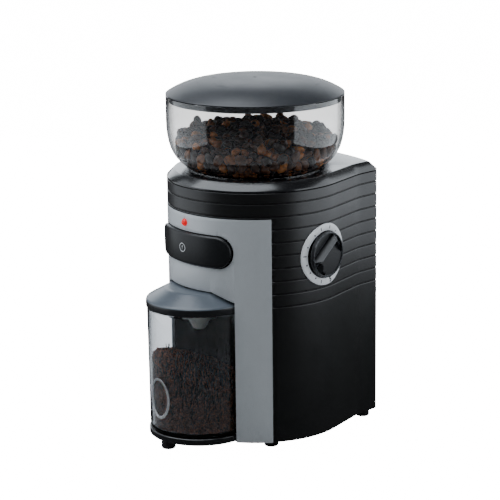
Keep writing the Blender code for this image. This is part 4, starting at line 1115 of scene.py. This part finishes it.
def buildGripMark():
    # raised upright oval moulded into the front of the container
    look = markLook
    line, proud = look["line"], look["proud"]
    bm = bmesh.new()
    loops = []
    for grow, depth in ((line, -0.1), (line * 0.5, proud), (0.0, proud), (-line * 0.5, -0.1)):
        wide, tall = look["halfWidth"] + grow, look["halfHeight"] + grow
        turns = [tau * i / 64 for i in range(64)]
        loops.append(flatLoop(bm, [(wide * cos(t), look["height"] + tall * sin(t)) for t in turns], depth))
    bridgeAll(bm, loops + loops[:1])
    bendRound(bm, bayAxis, look["wall"] * mm)
    faceOut(bm)
    finishPiece(bm, "containerMark", "markClear", "container", ())


groundsLook = {"bottom": 16.35, "radius": 38.2, "level": 57.0, "heap": 12.0, "heapTurn": -45.0, "slope": 18.0,
               "seed": 11, "crumbs": 1400, "crumbSize": (0.35, 0.85),
               "flakes": 430, "flakeTurn": (-30, 150, 65), "flakeHeight": (24, 92, 64), "flakeLength": (0.9, 5.0),
               "flakeWidth": (0.3, 0.8)}


def groundsHeight(x, y):
    # surface of the heap, x and y in millimetres from the container's axis
    look = groundsLook
    turn = radians(look["heapTurn"])
    toward = x * sin(turn) - y * cos(turn)
    heapX, heapY = 20 * sin(turn), -20 * cos(turn)
    rise = look["heap"] * exp(-((x - heapX) ** 2 + (y - heapY) ** 2) / 620.0)
    coarse = noise.noise(Vector((x * 0.11, y * 0.11, 3.1))) * 2.0
    fine = noise.noise(Vector((x * 0.45, y * 0.45, 7.7))) * 0.8
    return look["level"] + rise + look["slope"] * toward / look["radius"] * 0.5 + (coarse + fine)


def buildGrounds():
    look = groundsLook
    rings = 26
    bottom, radius, level = look["bottom"], look["radius"], look["level"]
    profile = [(0, bottom), (radius - 0.9, bottom), (radius, bottom + 1.2), (radius + 0.15, 40.0),
               (radius + 0.35, level)]
    profile += [(radius * (1 - i / rings), level + 1.0) for i in range(1, rings)] + [(0, level + 1.0)]
    bm = spinProfile(profile, 120, origin)
    for vert in bm.verts:
        if vert.co.z > (level - 0.5) * mm:
            vert.co.z = groundsHeight(vert.co.x / mm, vert.co.y / mm) * mm
    bmesh.ops.translate(bm, vec=bayAxis, verts=bm.verts)
    finishPiece(bm, "groundCoffee", "groundCoffee", "container", (), sharp=60)


def buildCrumbs():
    look = groundsLook
    dice = random.Random(look["seed"])
    bm = bmesh.new()
    for i in range(look["crumbs"]):
        reach, turn = look["radius"] * sqrt(dice.random()) * 0.985, dice.uniform(0, tau)
        x, y = reach * cos(turn), reach * sin(turn)
        spot = bayAxis + Vector((x * mm, y * mm, groundsHeight(x, y) * mm))
        size = dice.uniform(*look["crumbSize"]) * mm
        shape = Matrix.Diagonal((size, size * dice.uniform(0.5, 1), size * dice.uniform(0.4, 0.9), 1.0))
        turned = Matrix.Rotation(dice.uniform(0, 6.28), 4, Vector((dice.gauss(0, 1), dice.gauss(0, 1), 1.0)))
        bmesh.ops.create_icosphere(bm, subdivisions=1, radius=1.0,
                matrix=Matrix.Translation(spot) @ turned @ shape)
    finishPiece(bm, "looseCrumbs", "groundCoffee", "container", (), sharp=50)


def buildFlakes():
    # dark streaks of powder that cling to the inside of the wall
    look = groundsLook
    dice = random.Random(look["seed"] + 1)
    bm = bmesh.new()
    for i in range(look["flakes"]):
        turn = radians(dice.triangular(*look["flakeTurn"]))
        height = dice.triangular(*look["flakeHeight"])
        length, width = dice.uniform(*look["flakeLength"]), dice.uniform(*look["flakeWidth"])
        reach = wallAt(height, cupProfile["inner"][2:5]) - 0.12
        spot = bayAxis + Vector((reach * sin(turn), -reach * cos(turn), height)) * mm
        place = Matrix.Translation(spot) @ Matrix.Rotation(turn, 4, "Z")
        place = place @ Matrix.Rotation(dice.gauss(0, 0.12), 4, "Y")
        place = place @ Matrix.Diagonal((width * mm, 0.12 * mm, length * mm, 1.0))
        bmesh.ops.create_icosphere(bm, subdivisions=1, radius=1.0, matrix=place)
    finishPiece(bm, "wallStreaks", "darkPowder", "container", (), sharp=80)


def powderFinish(name, dark, light):
    surface, tree = startSurface(name)
    place = objectPlace(tree)
    speck = addNode(tree, "TexVoronoi", {"Vector": place, "Scale": 1300.0})
    patch = cloud(tree, place, 260.0, 6.0, 0.7)
    chips = addNode(tree, "SeparateColor", {0: speck.outputs["Color"]})
    spread = remap(tree, calc(tree, "MULTIPLY", chips, patch), 0.02, 0.55)
    # painted light: surfaces facing up are made up to 2.4 times lighter, as if lit from above
    paintedTopLight = remap(tree, upward(tree), 0.3, 0.95, 1.0, 2.4)
    lumps = calc(tree, "ADD", speck.outputs["Distance"], patch)
    blended = mixColour(tree, spread, dark, light)
    setShader(tree, {
        "Base Color": addNode(tree, "HueSaturation", {"Color": blended, "Value": paintedTopLight}),
        "Roughness": 0.9,
        "Specular IOR Level": 0.12,
        "Normal": relief(tree, lumps, 0.0006, 0.8),
    })
    return surface


finishes["groundCoffee"] = powderFinish("groundCoffee", (0.014, 0.006, 0.004), (0.27, 0.105, 0.058))
finishes["darkPowder"] = powderFinish("darkPowder", (0.004, 0.003, 0.003), (0.018, 0.011, 0.009))
buildContainer()
buildGripMark()
buildGrounds()
buildCrumbs()
buildFlakes()
print("container is filled")


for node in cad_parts.values():
    for place in node.material_slots:
        slotName = place.material.name.split(".")[0]
        place.material = finishes["boardGreen" if slotName == "board" else camelName(slotName)]
print("kept parts have their finishes")
